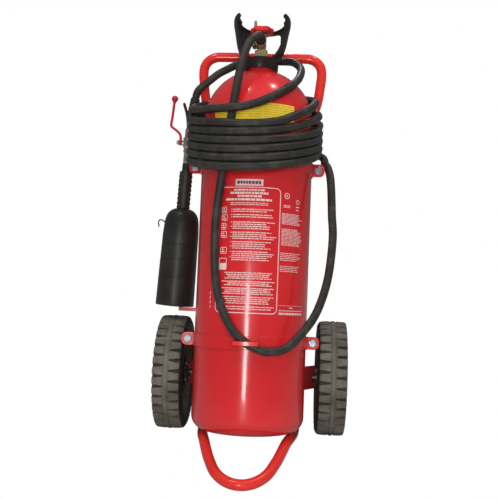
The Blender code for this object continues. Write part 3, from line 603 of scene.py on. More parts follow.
def ferrule_profile(length, hose_end):
    """A crimped sleeve from z 0 down to -length, with crimp rings."""
    body = rings(0.003, length - 0.003, max(3, round(length / 0.0065)), 0.0096, 0.0104)
    profile = [(0.0, 0.0), (hose_end, 0.0), (0.0098, 0.0012)] + body
    profile += [(0.0098, length - 0.0014), (0.0088, length), (0.0, length)]
    return [(r, -z) for r, z in profile]


swivel_y = -0.0248 - 0.012 - 0.0003
valve_ferrule = piece(
    "valve_ferrule", lathe(rounded(ferrule_profile(0.0222, 0.0085), 0.0005), 48), FERRULE_BLACK,
    "trolley", ("hose_ferrule_valve",),
    place=Matrix.Translation((0.0, swivel_y, OUTLET_Z)) @ Matrix.Rotation(-pi / 2, 4, "X"),
)
hose_finish = Vector(TOP_ROUTE[-1])
tail_top = Vector((-0.1539, 0.0755, 0.6835))
run_down = (tail_top - hose_finish).normalized()
lance_ferrule = piece(
    "lance_ferrule", lathe(rounded(ferrule_profile(0.0425, 0.009), 0.0005), 48), FERRULE_BLACK,
    "trolley", ("hose_ferrule_lance",),
    place=toward(hose_finish + run_down * 0.0012, -run_down),
)


# ---------------------------------------------------------------- cylinder and print

outer_dish = [(0.0, 0.039), (0.02, 0.038), (0.04, 0.0355), (0.056, 0.0315), (0.068, 0.0265)]
shell = [
    (0.0, 0.792), (0.0295, 0.792), (0.03, 0.7915), (0.03, 0.77), (0.0304, 0.768), (0.0312, 0.7655),
    (0.0332, 0.7634), (0.036, 0.7618),
]
shell += arc(0.0, SHOULDER_Z, CYLINDER_R, 69, 0, 26)
shell += [(CYLINDER_R, z) for z in (0.6, 0.5, 0.4, 0.3, 0.2, 0.1)]
shell += arc(CYLINDER_R - 0.03, 0.053, 0.03, 0, -90, 12)
shell += [(0.076, 0.0234)] + list(reversed(outer_dish))
piece("cylinder", lathe(shell, 144), SHELL_RED, "trolley", ("cylinder_shell",), angle=50)


def on_shell(u, z, lift):
    """A point on the cylinder's side, u metres round from the front, lift off its surface."""
    turn = u / CYLINDER_R
    if z <= SHOULDER_Z:
        reach = CYLINDER_R + lift
        return Vector((reach * sin(turn), -reach * cos(turn), z))
    rise = asin(min(1.0, (z - SHOULDER_Z) / CYLINDER_R))
    reach = (CYLINDER_R + lift) * cos(rise)
    return Vector((reach * sin(turn), -reach * cos(turn), SHOULDER_Z + (CYLINDER_R + lift) * sin(rise)))


INK = (0.00004, 0.00022)


def patch(shape, u0, u1, z0, z1, step=0.006, high=INK[1], low=INK[0]):
    """A thin closed patch on the shell between two arc lengths and two heights."""
    across = max(1, ceil((u1 - u0) / step))
    up = max(1, ceil((z1 - z0) / step))
    grids = []
    for lift in (low, high):
        grids.append([
            [shape.verts.new(on_shell(u0 + (u1 - u0) * i / across, z0 + (z1 - z0) * j / up, lift))
             for i in range(across + 1)]
            for j in range(up + 1)
        ])
    under, over = grids
    for j in range(up):
        for i in range(across):
            shape.faces.new((over[j][i], over[j][i + 1], over[j + 1][i + 1], over[j + 1][i]))
            shape.faces.new((under[j][i], under[j + 1][i], under[j + 1][i + 1], under[j][i + 1]))
    edge = [(0, i) for i in range(across)] + [(j, across) for j in range(up)]
    edge += [(up, i) for i in range(across, 0, -1)] + [(j, 0) for j in range(up, 0, -1)]
    for (j, i), (next_j, next_i) in zip(edge, edge[1:] + edge[:1]):
        side = (under[j][i], under[next_j][next_i], over[next_j][next_i], over[j][i])
        shape.faces.new(side)


def ribbon(shape, points, width):
    """A thin closed line on the shell through (u, z) points, closed on itself."""
    count = len(points)
    rings_of = []
    for i in range(count):
        before, here, after = (Vector(points[(i + k) % count]) for k in (-1, 0, 1))
        heading = (after - before).normalized()
        normal = Vector((-heading.y, heading.x)) * (width / 2)
        inner, outer = here - normal, here + normal
        rings_of.append([
            shape.verts.new(on_shell(p.x, p.y, lift))
            for p, lift in ((inner, INK[0]), (inner, INK[1]), (outer, INK[1]), (outer, INK[0]))
        ])
    strip_rows(shape, rings_of + [rings_of[0]])


def rounded_frame(u0, u1, z0, z1, radius, step=0.008):
    points = []
    corners = [
        (u1 - radius, z1 - radius, 0), (u0 + radius, z1 - radius, 90),
        (u0 + radius, z0 + radius, 180), (u1 - radius, z0 + radius, 270),
    ]
    for u, z, start in corners:
        for k in range(9):
            turn = radians(start + 90 * k / 8)
            points.append((u + radius * cos(turn), z + radius * sin(turn)))
    out = []
    for here, after in zip(points, points[1:] + points[:1]):
        a, b = Vector(here), Vector(after)
        count = max(1, ceil((b - a).length / step))
        out += [tuple(a.lerp(b, k / count)) for k in range(count)]
    return out


def text_lines(shape, u0, u1, z_top, z_low, count, height, draw, fill=1.0, centred=False):
    """Rows of short dashes that stand for printed lines."""
    pitch = (z_top - z_low) / count
    for row in range(count):
        z = z_top - pitch * (row + 0.5)
        reach = (u1 - u0) * (fill if fill < 1 else draw.uniform(0.72, 1.0))
        u = u0 + (u1 - u0 - reach) / 2 if centred else u0
        end = u + reach
        while u < end - 0.0015:
            word = min(draw.uniform(0.0035, 0.0105), end - u)
            patch(shape, u, u + word, z - height / 2, z + height / 2)
            u += word + draw.uniform(0.0009, 0.0016)


draw = random.Random(7)
ink = bmesh.new()
ribbon(ink, rounded_frame(-0.07, 0.0562, 0.261, 0.5048, 0.009), 0.0017)
# u0, u1, top, low, rows, height, share of the width
headings = [
    (-0.04, 0.026, 0.5025, 0.4965, 1, 0.0034, 0.92),
    (-0.046, 0.032, 0.4968, 0.4902, 1, 0.004, 0.97),
    (-0.031, 0.019, 0.4902, 0.4846, 1, 0.0036, 0.95),
    (-0.055, 0.041, 0.484, 0.4774, 1, 0.004, 0.98), (-0.048, 0.035, 0.4758, 0.469, 2, 0.0014, 0.9),
]
for *box, share in headings:
    text_lines(ink, *box, draw, share, True)
# top, low, rows
steps_text = [
    (0.4635, 0.4555, 2), (0.453, 0.4445, 2), (0.4385, 0.422, 4), (0.4185, 0.4025, 4),
    (0.4, 0.3835, 4), (0.381, 0.361, 5),
]
for top, low, rows in steps_text:
    text_lines(ink, -0.0372, 0.05, top, low, rows, 0.0017, draw)
    for row in range(2):
        at = top - 0.0022 - row * (top - low) / 2
        patch(ink, -0.0412, -0.0394, at - 0.0009, at + 0.0009)
lower_text = [
    (0.34, 0.3255, 4), (0.323, 0.3125, 3), (0.31, 0.296, 4), (0.2935, 0.2775, 4), (0.275, 0.266, 2),
]
for top, low, rows in lower_text:
    text_lines(ink, -0.059, 0.052, top, low, rows, 0.0017, draw, 1.0, True)
for top, low, rows in ((0.4585, 0.436, 9), (0.4285, 0.3945, 13)):
    text_lines(ink, 0.061, 0.119, top, low, rows, 0.0012, draw)
for top, low, rows in ((0.3815, 0.3645, 5), (0.356, 0.343, 4)):
    text_lines(ink, 0.06, 0.115, top, low, rows, 0.0012, draw)
text_lines(ink, 0.064, 0.08, 0.475, 0.469, 2, 0.0018, draw, 0.95)
text_lines(ink, 0.0955, 0.1055, 0.476, 0.464, 2, 0.002, draw, 0.9)
patch(ink, 0.06, 0.128, 0.2776, 0.2781)
text_lines(ink, 0.086, 0.097, 0.2756, 0.2716, 1, 0.0018, draw, 0.95)
text_lines(ink, 0.061, 0.129, 0.27, 0.266, 1, 0.0016, draw, 0.98)
text_lines(ink, 0.061, 0.129, 0.265, 0.259, 1, 0.0042, draw, 0.98)
ribbon(ink, arc(0.0712, 0.4925, 0.0054, 0, 360 * 27 / 28, 28), 0.0016)
patch(ink, 0.0696, 0.0728, 0.4909, 0.4941)
ribbon(ink, arc(0.1, 0.483, 0.004, 0, 345, 24), 0.0014)
# Plain pictograms: an outline box with a bar and a dot for each step
for z, wide in ((0.46, 0.01), (0.4455, 0.012), (0.428, 0.01), (0.412, 0.012), (0.381, 0.013)):
    ribbon(ink, rounded_frame(-0.062, -0.062 + wide, z - 0.0058, z + 0.0058, 0.0018), 0.0011)
    patch(ink, -0.0598, -0.0598 + wide * 0.55, z - 0.0036, z - 0.001)
    patch(ink, -0.059, -0.056, z + 0.0008, z + 0.0036)
patch(ink, -0.064, -0.048, 0.344, 0.356)
ribbon(ink, rounded_frame(-0.064, -0.048, 0.344, 0.3655, 0.0012), 0.0012)
patch(ink, -0.035, 0.02, 0.5078, 0.5206)
for z in (0.295, 0.286, 0.277, 0.268):
    patch(ink, -0.085, -0.0838, z, z + 0.006)
piece("label_print", faced(ink), PRINT, "trolley", angle=60)
plate_ink = bmesh.new()
u = -0.0315
while u < 0.013:
    word = draw.uniform(0.0035, 0.006)
    patch(plate_ink, u, u + word, 0.5112, 0.5172, 0.006, 0.00038, 0.00026)
    u += word + 0.0012
piece("label_plate_print", faced(plate_ink), PLATE_INK, "trolley", angle=60)

film = bmesh.new()
patch(film, -0.093, 0.0815, 0.6395, 0.673, 0.005, 0.00018, 0.00004)
piece("shoulder_film", faced(film), FILM, "trolley", angle=60)
film_ink = bmesh.new()
for row in range(6):
    z = 0.669 - row * 0.0048
    for u0, u1 in ((-0.086, -0.04), (-0.036, 0.012), (0.016, 0.078)):
        u = u0
        while u < u1:
            word = min(draw.uniform(0.008, 0.02), u1 - u)
            patch(film_ink, u, u + word, z - 0.0005, z + 0.0005, 0.004, 0.0003, 0.0002)
            u += word + 0.0016
piece("shoulder_film_print", faced(film_ink), FILM_INK, "trolley", angle=60)


# ---------------------------------------------------------------- trolley


def mirrored(half):
    return half + [(-x, y, z) for x, y, z in reversed(half[:-1])]


handle_half = [
    (RAIL_X, 0.45), (RAIL_X, 0.55), (RAIL_X, 0.64), (0.0998, 0.664), (0.104, 0.681),
    (0.1125, 0.6985), (0.1205, 0.716), (0.1252, 0.737), (0.1283, 0.762), (0.1305, 0.785),
    (0.1288, 0.802), (0.1205, 0.815), (0.106, 0.8228), (0.085, 0.8245), (0.0, 0.8245),
]
foot_half = [
    (RAIL_X, RAIL_Y, 0.075), (RAIL_X, RAIL_Y, 0.05), (0.098, 0.0775, 0.03), (0.0965, 0.062, 0.016),
    (0.0945, 0.04, 0.012), (0.0915, 0.01, 0.012), (0.0865, -0.025, 0.011), (0.0805, -0.052, 0.006),
    (0.073, -0.08, -0.006), (0.0635, -0.107, -0.0205), (0.048, -0.137, -0.038),
    (0.0255, -0.156, -0.049), (0.0, -0.163, -0.0525),
]
upper = smooth_path(mirrored([(x, RAIL_Y, z) for x, z in handle_half]), 0.006)
lower = smooth_path(mirrored(foot_half), 0.006)
left_rail = [Vector((-RAIL_X, RAIL_Y, 0.45 - 0.375 * k / 12)) for k in range(1, 12)]
right_rail = [Vector((RAIL_X, RAIL_Y, 0.075 + 0.375 * k / 12)) for k in range(1, 12)]
frame_loop = upper + left_rail + list(reversed(lower)) + right_rail
piece("trolley_tube", sweep(frame_loop, TUBE_R, 32, loop=True), TUBE_RED, "trolley",
      ("handle_tube", "left_rail", "right_rail", "foot_loop"))

rest_half = [
    (RAIL_X, RAIL_Y + TUBE_R - 0.001, 0.603), (RAIL_X, 0.105, 0.603), (RAIL_X, 0.127, 0.606),
    (RAIL_X, 0.1375, 0.619), (RAIL_X, 0.1375, 0.638), (0.0935, 0.1375, 0.65), (0.08, 0.1375, 0.655),
    (0.0, 0.1375, 0.655),
]
rest = [sweep(smooth_path(mirrored(rest_half), 0.005), 0.004, 20)]
for side in (-1, 1):
    weld = [(0.0, 0.0032), (0.0046, 0.003), (0.0062, 0.0012), (0.0066, -0.0012), (0.0, -0.0012)]
    weld_at = toward((side * RAIL_X, RAIL_Y + TUBE_R, 0.603), (0, 1, 0))
    rest.append(moved(lathe(rounded(weld, 0.0008)), weld_at))
piece("hose_rest_bar", merge(*rest), TUBE_RED, "trolley", ("hose_rest",))

strip = merge(block((-0.164, 0.088, 0.259), (-0.1083, 0.092, 0.2668)),
              block((-0.164, 0.0884, 0.26), (-0.154, 0.0916, 0.3)))
piece("horn_rest_strip", strip, TUBE_RED, "trolley", ("horn_rest",), bevel=0.0006)


def bracket(side):
    """The plate that flares from a rail to the wheel, with its weld."""
    flare = Vector((0.45, 0.893, 0.0)).normalized()
    outward = Vector((flare.y, -flare.x, 0.0))
    start = Vector((RAIL_X, RAIL_Y, 0.0)) + outward * (TUBE_R + 0.0003) - flare * 0.006
    length = (0.139 - start.x - outward.x * 0.004) / flare.x
    outline = [(0.0, -0.025), (length, -0.025), (length, 0.025), (0.0, 0.025)]
    plate = slab(outline, -0.002, 0.002)
    middle = start + outward * 0.002 + Vector((0.0, 0.0, AXLE_Z))
    axes = Matrix((flare, (0.0, 0.0, 1.0), outward)).transposed().to_4x4()
    moved(plate, Matrix.Translation(middle) @ axes)
    bead_at = start + flare * 0.004
    bead = sweep([bead_at + Vector((0.0, 0.0, AXLE_Z - 0.024 + 0.0024 * k)) for k in range(21)],
                 lambda s: 0.0017 + 0.0004 * sin(s * 2200), 12, 0.0015)
    whole = merge(plate, bead)
    return moved(whole, Matrix.Diagonal((-1.0, 1.0, 1.0, 1.0))) if side < 0 else whole


for side, hand in ((-1, "left"), (1, "right")):
    piece(f"wheel_bracket_{hand}", bracket(side), BRACKET_RED, "trolley",
          (f"axle_bracket_{hand}",), bevel=0.0005)

shaft = [
    (0.0, 0.205), (0.009, 0.205), (0.01, 0.204), (0.01, -0.204), (0.009, -0.205), (0.0, -0.205),
]
piece("axle_shaft", lathe(shaft, 64), STEEL, "trolley", ("axle",),
      place=toward((0.0, AXLE_Y, AXLE_Z), (1, 0, 0)))


# ---------------------------------------------------------------- clamps


def band_half(z, side):
    """Half a clamp band with a round-ended ear on each side, pressed up at its edges."""
    split = CLAMP_SPLIT_Y + side * 0.00015
    inner_r, outer_r = CYLINDER_R + 0.0003, CYLINDER_R + 0.0033
    start = asin(side * (split + side * CLAMP_SHEET) / outer_r)
    section = [(inner_r, -0.013), (outer_r - 0.0006, -0.013), (outer_r, -0.0124)]
    section += [(r, -height) for r, height in reversed(section)]
    shape = bmesh.new()
    rows = []
    steps = 96
    for i in range(steps + 1):
        turn = start + (pi - 2 * start) * i / steps
        ring = []
        for reach, height in section:
            ring.append(shape.verts.new((reach * cos(turn), side * reach * sin(turn), z + height)))
        rows.append(ring)
    strip_rows(shape, rows)
    shape.faces.new(rows[0])
    shape.faces.new(rows[-1])
    faced(shape)
    ears = []
    for end in (-1, 1):
        outline = [(0.1146, -0.013)]
        outline += arc(0.131, -0.003, 0.01, -90, 0, 7)
        outline += arc(0.131, 0.003, 0.01, 0, 90, 7)
        outline += [(0.1146, 0.013)]
        ear = slab([(end * x, h) for x, h in outline], 0.0, CLAMP_SHEET)
        # outline height goes to Z, and the thickness away from the split
        turn = Matrix(((1, 0, 0, 0), (0, 0, side, split), (0, 1, 0, z), (0, 0, 0, 1)))
        ears.append(moved(ear, turn))
    return faced(merge(shape, *ears))


def bolt(z, x):
    """A flanged hex bolt from the front."""
    face = CLAMP_SPLIT_Y - 0.00015 - CLAMP_SHEET
    flange = [
        (0.0, 0.0), (0.0086, 0.0), (0.0088, 0.0003), (0.0088, 0.0011), (0.0074, 0.0019),
        (0.0, 0.0019),
    ]
    head = [lathe(rounded(flange, 0.0003), 48), hexagon(0.0118, 0.0015, 0.0058, 0.16)]
    dish = [(0.0, 0.006), (0.003, 0.006), (0.0036, 0.0057), (0.0, 0.0057)]
    head.append(lathe(dish, 32))
    return moved(merge(*head), toward((x, face - 0.0003, z), (0, -1, 0), 0.35 * z * 40))


def nut(z, x):
    """A nut, its washer and the thread's end, at the back of an ear."""
    face = CLAMP_SPLIT_Y + 0.00015 + CLAMP_SHEET
    washer = [(0.0, 0.0002), (0.0082, 0.0002), (0.0084, 0.0004), (0.0084, 0.0014), (0.0, 0.0016)]
    thread = [(0.0, 0.006)] + rings(0.0064, 0.0098, 4, 0.0036, 0.004, 0.1)
    thread += [(0.0032, 0.0104), (0.0, 0.0104)]
    parts = [lathe(rounded(washer, 0.0002), 40), hexagon(0.013, 0.0012, 0.0068, 0.14),
             lathe(thread, 32)]
    return moved(merge(*parts), toward((x, face, z), (0, 1, 0), 0.5 + z))


for level, z in zip(("lower", "upper"), CLAMP_Z):
    for place_name, side in (("front", -1), ("rear", 1)):
        piece(f"{level}_band_{place_name}", band_half(z, side), SHELL_RED, "trolley",
              (f"{level}_clamp_{place_name}",), bevel=0.0004)
    for hand, side in (("left", -1), ("right", 1)):
        piece(f"bolt_head_{level}_{hand}", bolt(z, side * BOLT_X), ZINC, "trolley",
              (f"bolt_{level}_{hand}",), bevel=0.0002, angle=25)
        piece(f"clamp_nut_{level}_{hand}", nut(z, side * BOLT_X), ZINC, "trolley",
              (f"nut_{level}_{hand}",), bevel=0.0002, angle=25)

hook = [
    (-0.0265, -0.115), (-0.0265, -0.14), (-0.0258, -0.1418), (-0.024, -0.1425), (0.0215, -0.1425),
    (0.0225, -0.1422), (0.0245, -0.1385), (-0.0225, -0.1385), (-0.0225, -0.115),
]
piece("hose_hook_strap", slab(hook, 0.1995, 0.2075), TUBE_RED, "trolley", ("hose_hook",),
      bevel=0.0006)


# ---------------------------------------------------------------- wheels

LUGS = 35
TREAD = 0.0292
GROOVE_DEPTH = 0.0072
SIDEWALL_SWELL = 0.005
TREAD_TURN = 0.31


def tyre_shape():
    """A tyre with two rows of tapered cross grooves, half a lug apart, and a plain rib between them."""
    shape = bmesh.new()
    # a layer that marks where the tyre's colour carries painted shade
    painted_shade = shape.verts.layers.float.new("painted_shade")
    wide = TREAD
    profile = [
        (0.0792, wide * 0.62), (0.0806, wide * 0.7), (0.084, wide * 0.86), (0.088, wide * 0.945),
        (0.094, wide * 0.985), (0.101, wide), (0.108, wide * 0.998), (0.113, wide * 0.99),
        (0.1165, wide * 0.985), (0.119, wide * 0.975), (0.1207, wide * 0.955),
        (0.1218, wide * 0.92), (0.1223, wide * 0.87), (0.1227, wide * 0.8), (0.12295, wide * 0.7),
        (0.1232, wide * 0.58), (0.12335, wide * 0.46), (0.12345, wide * 0.34),
        (0.1233, wide * 0.27), (0.1221, wide * 0.215), (0.1221, wide * 0.17), (0.1236, wide * 0.13),
        (0.1239, wide * 0.1), (0.124, wide * 0.03),
    ]
    inner_side = []
    for r, z in reversed(profile):
        swell = SIDEWALL_SWELL * min(1.0, max(0.0, (r - 0.0795) / 0.006))
        swell *= min(1.0, (0.1245 - r) / 0.011)
        inner_side.append((r, -z - swell * (z / wide) ** 4))
    profile += inner_side
    back = [(0.0792, -wide * 0.62), (0.079, -wide * 0.3), (0.079, 0.0), (0.079, wide * 0.3)]
    pitch = 2 * pi / LUGS
    rows = []
    for r, z in profile + back[1:]:
        near = min(1.0, max(0.0, (abs(z) / wide - 0.17) / 0.8))
        half = 0.0009 + 0.0031 * near
        depth = GROOVE_DEPTH * min(1.0, max(0.0, (abs(z) / wide - 0.17) / 0.12))
        fade = min(1.0, max(0.0, (r - 0.106) / 0.011))
        row = []
        for lug in range(LUGS):
            for role in range(8):
                first = role < 4
                offset = (-half - 0.0009, -half + 0.0002, half - 0.0002,
                          half + 0.0009)[role % 4] / 0.124
                turn = pitch * (lug + (0.0 if first else 0.5)) + offset
                in_groove = role % 4 in (1, 2) and (first == (z < 0))
                reach = r - (depth * fade if in_groove else 0.0)
                vertex = shape.verts.new((reach * cos(turn), reach * sin(turn), z))
                # painted shade: groove floors take a share of the shade colour by their depth, and the
                # swollen inner sidewall takes all of it
                vertex[painted_shade] = 0.7 * (r - reach) / GROOVE_DEPTH
                if z < -wide * 1.004:
                    vertex[painted_shade] = 1.0
                row.append(vertex)
        rows.append(row)
    rows.append(rows[0])
    strip_rows(shape, rows)
    return faced(shape)


def rim_shape():
    """A moulded rim: a dished web with ribs on both faces, and its hub."""
    half = [
        (0.0146, 0.027), (0.0205, 0.027), (0.0215, 0.0262), (0.0225, 0.011), (0.024, 0.0074),
        (0.028, 0.0062), (0.056, 0.0052), (0.0625, 0.0058), (0.0655, 0.0085), (0.0675, 0.016),
        (0.069, 0.0182), (0.071, 0.0188), (0.0765, 0.019), (0.0783, 0.0186),
    ]
    profile = half + [(r, -z) for r, z in reversed(half)]
    parts = [lathe(profile, 96, closed=True)]
    for side in (-1, 1):
        for k in range(8):
            rib = slab([(0.0215, -0.0016), (0.0664, -0.0013), (0.0664, 0.0013), (0.0215, 0.0016)],
                       0.003, 0.013)
            for vertex in rib.verts:
                if vertex.co.z > 0.01 and vertex.co.x < 0.03:
                    vertex.co.z = 0.019
            spin = Matrix.Rotation(2 * pi * k / 8, 4, "Z")
            flip = Matrix.Diagonal((1.0, 1.0, float(side), 1.0))
            parts.append(moved(rib, spin @ flip))
    return merge(*parts)


for hand, side in (("left", -1), ("right", 1)):
    hub = Matrix.Translation((side * WHEEL_X, AXLE_Y, AXLE_Z)) @ Matrix.Rotation(side * pi / 2, 4, "Y")
    body = f"wheel_{hand}"
    rolled = hub @ Matrix.Rotation(side * TREAD_TURN * 2 * pi / LUGS, 4, "Z")
    piece(f"treaded_tyre_{hand}", tyre_shape(), TYRE, body, (f"tyre_{hand}",),
          place=rolled, angle=28)
    piece(f"wheel_rim_{hand}", rim_shape(), BLACK, body, (f"rim_{hand}",),
          place=hub, bevel=0.0005)
    sleeve = [
        (0.01008, 0.029), (0.014, 0.029), (0.0143, 0.0287), (0.0143, -0.0282), (0.014, -0.0285),
        (0.01008, -0.0285),
    ]
    piece(f"hub_bush_{hand}", lathe(sleeve, 64, closed=True), ZINC, body, (f"bush_{hand}",),
          place=hub)
    cap = [
        (0.0, 0.0335), (0.006, 0.0333), (0.011, 0.0328), (0.0148, 0.0318), (0.016, 0.0304),
        (0.0165, 0.0295), (0.0103, 0.0295), (0.0103, 0.0312), (0.0, 0.0312),
    ]
    piece(f"hub_cap_{hand}", lathe(cap, 64), BLACK, "trolley", (f"axle_cap_{hand}",),
          place=hub)
    spacer = [
        (0.0103, -0.029), (0.0166, -0.029), (0.017, -0.0294), (0.017, -0.0336), (0.0166, -0.034),
        (0.0103, -0.034),
    ]
    piece(f"hub_spacer_{hand}", lathe(spacer, 64, closed=True), STEEL, "trolley",
          (f"axle_spacer_{hand}",), place=hub)


# ---------------------------------------------------------------- cylinder valve, handwheel, guard

column = [
    (0.0, 0.81), (0.0095, 0.81), (0.0095, 0.82), (0.0099, 0.8203), (0.0099, 0.824),
    (0.0095, 0.8243), (0.0095, 0.834), (0.0102, 0.8344), (0.0102, 0.8378), (0.0, 0.8378),
]
outlet_stub = [(0.0, 0.0), (0.008, 0.0), (0.008, 0.019), (0.0072, 0.0205), (0.0, 0.0205)]
vent_stub = [(0.0, 0.0), (0.0058, 0.0), (0.0058, 0.033), (0.0046, 0.0339), (0.0, 0.0339)]
valve_parts = [
    lathe(rounded(column, 0.0004), 48),
    lathe(rounded([(0.0, 0.78), (0.0133, 0.78), (0.0133, 0.799), (0.0, 0.799)], 0.0006), 48),
    hexagon(0.027, 0.7926, 0.8125),
    moved(lathe(rounded(outlet_stub), 40), toward((0.0, -0.004, OUTLET_Z), (0, -1, 0))),
    moved(lathe(rounded(vent_stub), 40), toward((0.0, 0.0, 0.831), (-0.016, 0.027, 0.0))),
]
piece("valve_casting", merge(*valve_parts), BRASS, "trolley", ("valve_body",),
      bevel=0.0003, angle=30)
piece("valve_bonnet", hexagon(0.019, 0.8383, 0.8475, 0.16), BRASS, "trolley", ("bonnet_nut",),
      bevel=0.0003, angle=25)
piece("outlet_hexagon", hexagon(0.022, 0.0, 0.012, 0.14), BRASS, "trolley", ("outlet_nut",),
      bevel=0.0003, angle=25, place=toward((0.0, -0.0248, OUTLET_Z), (0, -1, 0)))
vent = [
    (0.0, 0.888), (0.002, 0.888), (0.0028, 0.8874), (0.0031, 0.8862), (0.0034, 0.87),
    (0.0034, 0.8482), (0.0052, 0.8462), (0.0052, 0.838), (0.0, 0.8378),
]
piece("vent_stem", lathe(vent, 40), BRASS, "trolley", ("safety_vent",),
      place=Matrix.Translation((-0.016, 0.027, 0.0)))


def lobed(r, turn, z):
    return r * (1.0 - 0.15 * (0.5 - 0.5 * cos(6 * turn)) ** 1.5) if r > 0.012 else r


knob = [
    (0.0, 0.0108), (0.0075, 0.0108), (0.0088, 0.01), (0.012, 0.0092), (0.015, 0.0098),
    (0.019, 0.0108), (0.0225, 0.0108), (0.0243, 0.01), (0.025, 0.0084), (0.025, 0.0026),
    (0.0243, 0.001), (0.0225, 0.0002), (0.012, 0.0002), (0.0, 0.0002),
]
piece("lobed_knob", lathe(knob, 144, bend=lobed), KNOB_RED, "handwheel_body", ("handwheel",),
      place=Matrix.Translation((0.0, 0.0, WHEEL_LOW_Z)), angle=50)
cap_nut = [
    (0.0, 0.0162), (0.0016, 0.016), (0.003, 0.0154), (0.0042, 0.0144), (0.0048, 0.013),
    (0.005, 0.0122), (0.006, 0.012), (0.006, 0.0109), (0.0, 0.0109),
]
piece("knob_nut", lathe(cap_nut, 40), ZINC, "handwheel_body", ("handwheel_nut",),
      place=Matrix.Translation((0.0, 0.0, WHEEL_LOW_Z)))

flare = [
    (0.0368, 0.79), (0.0384, 0.7925), (0.041, 0.7965), (0.0436, 0.8), (0.0458, 0.804),
    (0.0482, 0.8095), (0.05, 0.815), (0.052, 0.8225), (0.0535, 0.83), (0.0548, 0.8375),
    (0.056, 0.845), (0.0575, 0.8525), (0.059, 0.86), (0.0599, 0.865), (0.0603, 0.87),
    (0.0603, 0.8735), (0.06, 0.8768), (0.059, 0.8805), (0.0572, 0.8836), (0.0545, 0.8855),
    (0.0515, 0.8861),
]
inner = [
    (0.0309, 0.7685), (0.0309, 0.791), (0.0335, 0.7935), (0.0365, 0.797), (0.0392, 0.8005),
    (0.0414, 0.8045), (0.044, 0.8098), (0.046, 0.8155), (0.0482, 0.8228), (0.0498, 0.83),
    (0.0512, 0.8378), (0.0525, 0.8452), (0.054, 0.8528), (0.0555, 0.8602), (0.0564, 0.8652),
    (0.0562, 0.869), (0.0548, 0.8728), (0.0522, 0.8762), (0.0496, 0.8788), (0.048, 0.881),
    (0.0474, 0.8832), (0.048, 0.885), (0.0495, 0.8858),
]
sleeve = list(reversed(flare)) + [(0.0366, 0.77), (0.0358, 0.7685)] + inner
dip_half = [
    (0.047, 0.93), (0.047, 0.885), (0.0468, 0.8812), (0.0458, 0.8785), (0.0438, 0.8768),
    (0.04, 0.8755), (0.034, 0.8743), (0.028, 0.8735), (0.018, 0.8729), (0.0, 0.8726),
]
dip = slab([(-x, z) for x, z in dip_half[:-1]] + [(x, z) for x, z in reversed(dip_half)], -0.1, 0.1)
window = [
    (-0.0315, 0.806), (-0.0275, 0.8005), (0.0345, 0.8005), (0.0385, 0.806), (0.0385, 0.86),
    (0.0345, 0.8645), (-0.0275, 0.8645), (-0.0315, 0.86),
]
upright = Matrix.Rotation(pi / 2, 4, "X")
guard = carved(lathe(sleeve, 160, closed=True), [
    block((-0.1, -0.1, 0.7905), (0.1, -0.025, 0.91)),
    moved(slab(rounded(window, 0.003, closed=True), -0.1, 0.0), upright),
    moved(dip, upright),
])
tips = []
for turn in (0.0, pi):
    bends = [turn + 0.2 * k for k in range(-2, 3)]
    crest = [(0.0528 * cos(a), 0.0528 * sin(a), 0.8812) for a in bends]
    tips.append(sweep(smooth_path(crest, 0.002), 0.0046, 20, 0.004))
guard = merge(guard, *tips)
piece("valve_guard_shell", guard, GUARD_BLACK, "trolley", ("valve_guard",),
      bevel=0.0009, angle=32)


# ---------------------------------------------------------------- lance

up = LANCE_VALVE - LANCE_MOUTH
mouth = -up.length
across = Vector((1.0, 0.0, 0.0))
across = (across - up * across.dot(up) / up.length_squared).normalized()
up.normalize()
HEAD = Matrix.Translation(LANCE_VALVE) @ Matrix((across, up.cross(across), up)).transposed().to_4x4()

body = [
    (0.0, 0.021), (0.0096, 0.021), (0.01, 0.0206), (0.01, 0.0125), (0.0112, 0.0116),
    (0.0125, 0.0104), (0.0125, -0.0091), (0.0112, -0.0104), (0.01, -0.0112), (0.01, -0.0146),
    (0.0096, -0.015), (0.0, -0.015),
]
boss = [(0.0, 0.0), (0.0062, 0.0), (0.0062, 0.0058), (0.0056, 0.0065), (0.0, 0.0065)]
valve = merge(lathe(body, 64), moved(lathe(boss, 40), toward((-0.0088, 0.0, 0.0), (-1, 0, 0))))
piece("ball_valve_casting", valve, NICKEL, "trolley", ("ball_valve_body",), place=HEAD)
tail = [
    (0.0, 0.0555), (0.0062, 0.0555), (0.0068, 0.0549), (0.0068, 0.032), (0.0094, 0.0314),
    (0.0098, 0.031), (0.0098, 0.0217), (0.0094, 0.0213), (0.0, 0.0213),
]
piece("hose_tail_fitting", lathe(tail, 48), NICKEL, "trolley", ("hose_tail",), place=HEAD)
piece("swivel_hexagon", hexagon(0.02, -0.0217, -0.0153, 0.1), ZINC, "trolley", ("swivel_nut",),
      place=HEAD, bevel=0.0003, angle=25)
link_profile = [
    (0.0, -0.022), (0.0078, -0.022), (0.0084, -0.0228), (0.009, -0.024), (0.009, -0.0418),
    (0.0086, -0.0434), (0.008, -0.0444), (0.0, -0.0444),
]
piece("lance_link", lathe(link_profile, 64), NICKEL, "trolley", ("lance_connector",),
      place=HEAD)


def gripped(r, turn, z):
    """Finger ribs down both sides of the grip, with a plain face front and back."""
    if not -0.1425 < z < -0.0645:
        return r
    sides_only = min(1.0, max(0.0, (abs(cos(turn)) - 0.62) / 0.25))
    return r - 0.0013 * sides_only * (0.5 - 0.5 * cos(2 * pi * (z + 0.0645) / 0.0098)) ** 1.6


grip = [
    (0.0, -0.0448), (0.009, -0.0448), (0.0095, -0.0453), (0.0098, -0.06), (0.0104, -0.0622),
    (0.0128, -0.0634), (0.0142, -0.0645), (0.0147, -0.0655),
]
grip += [(0.0149, -0.066 - 0.00098 * k) for k in range(1, 79)]
grip += [(0.0144, -0.1438), (0.0138, -0.145), (0.0, -0.145)]
piece("grip_sleeve", lathe(grip, 72, bend=gripped), FERRULE_BLACK, "trolley", ("grip",),
      place=HEAD, angle=50)

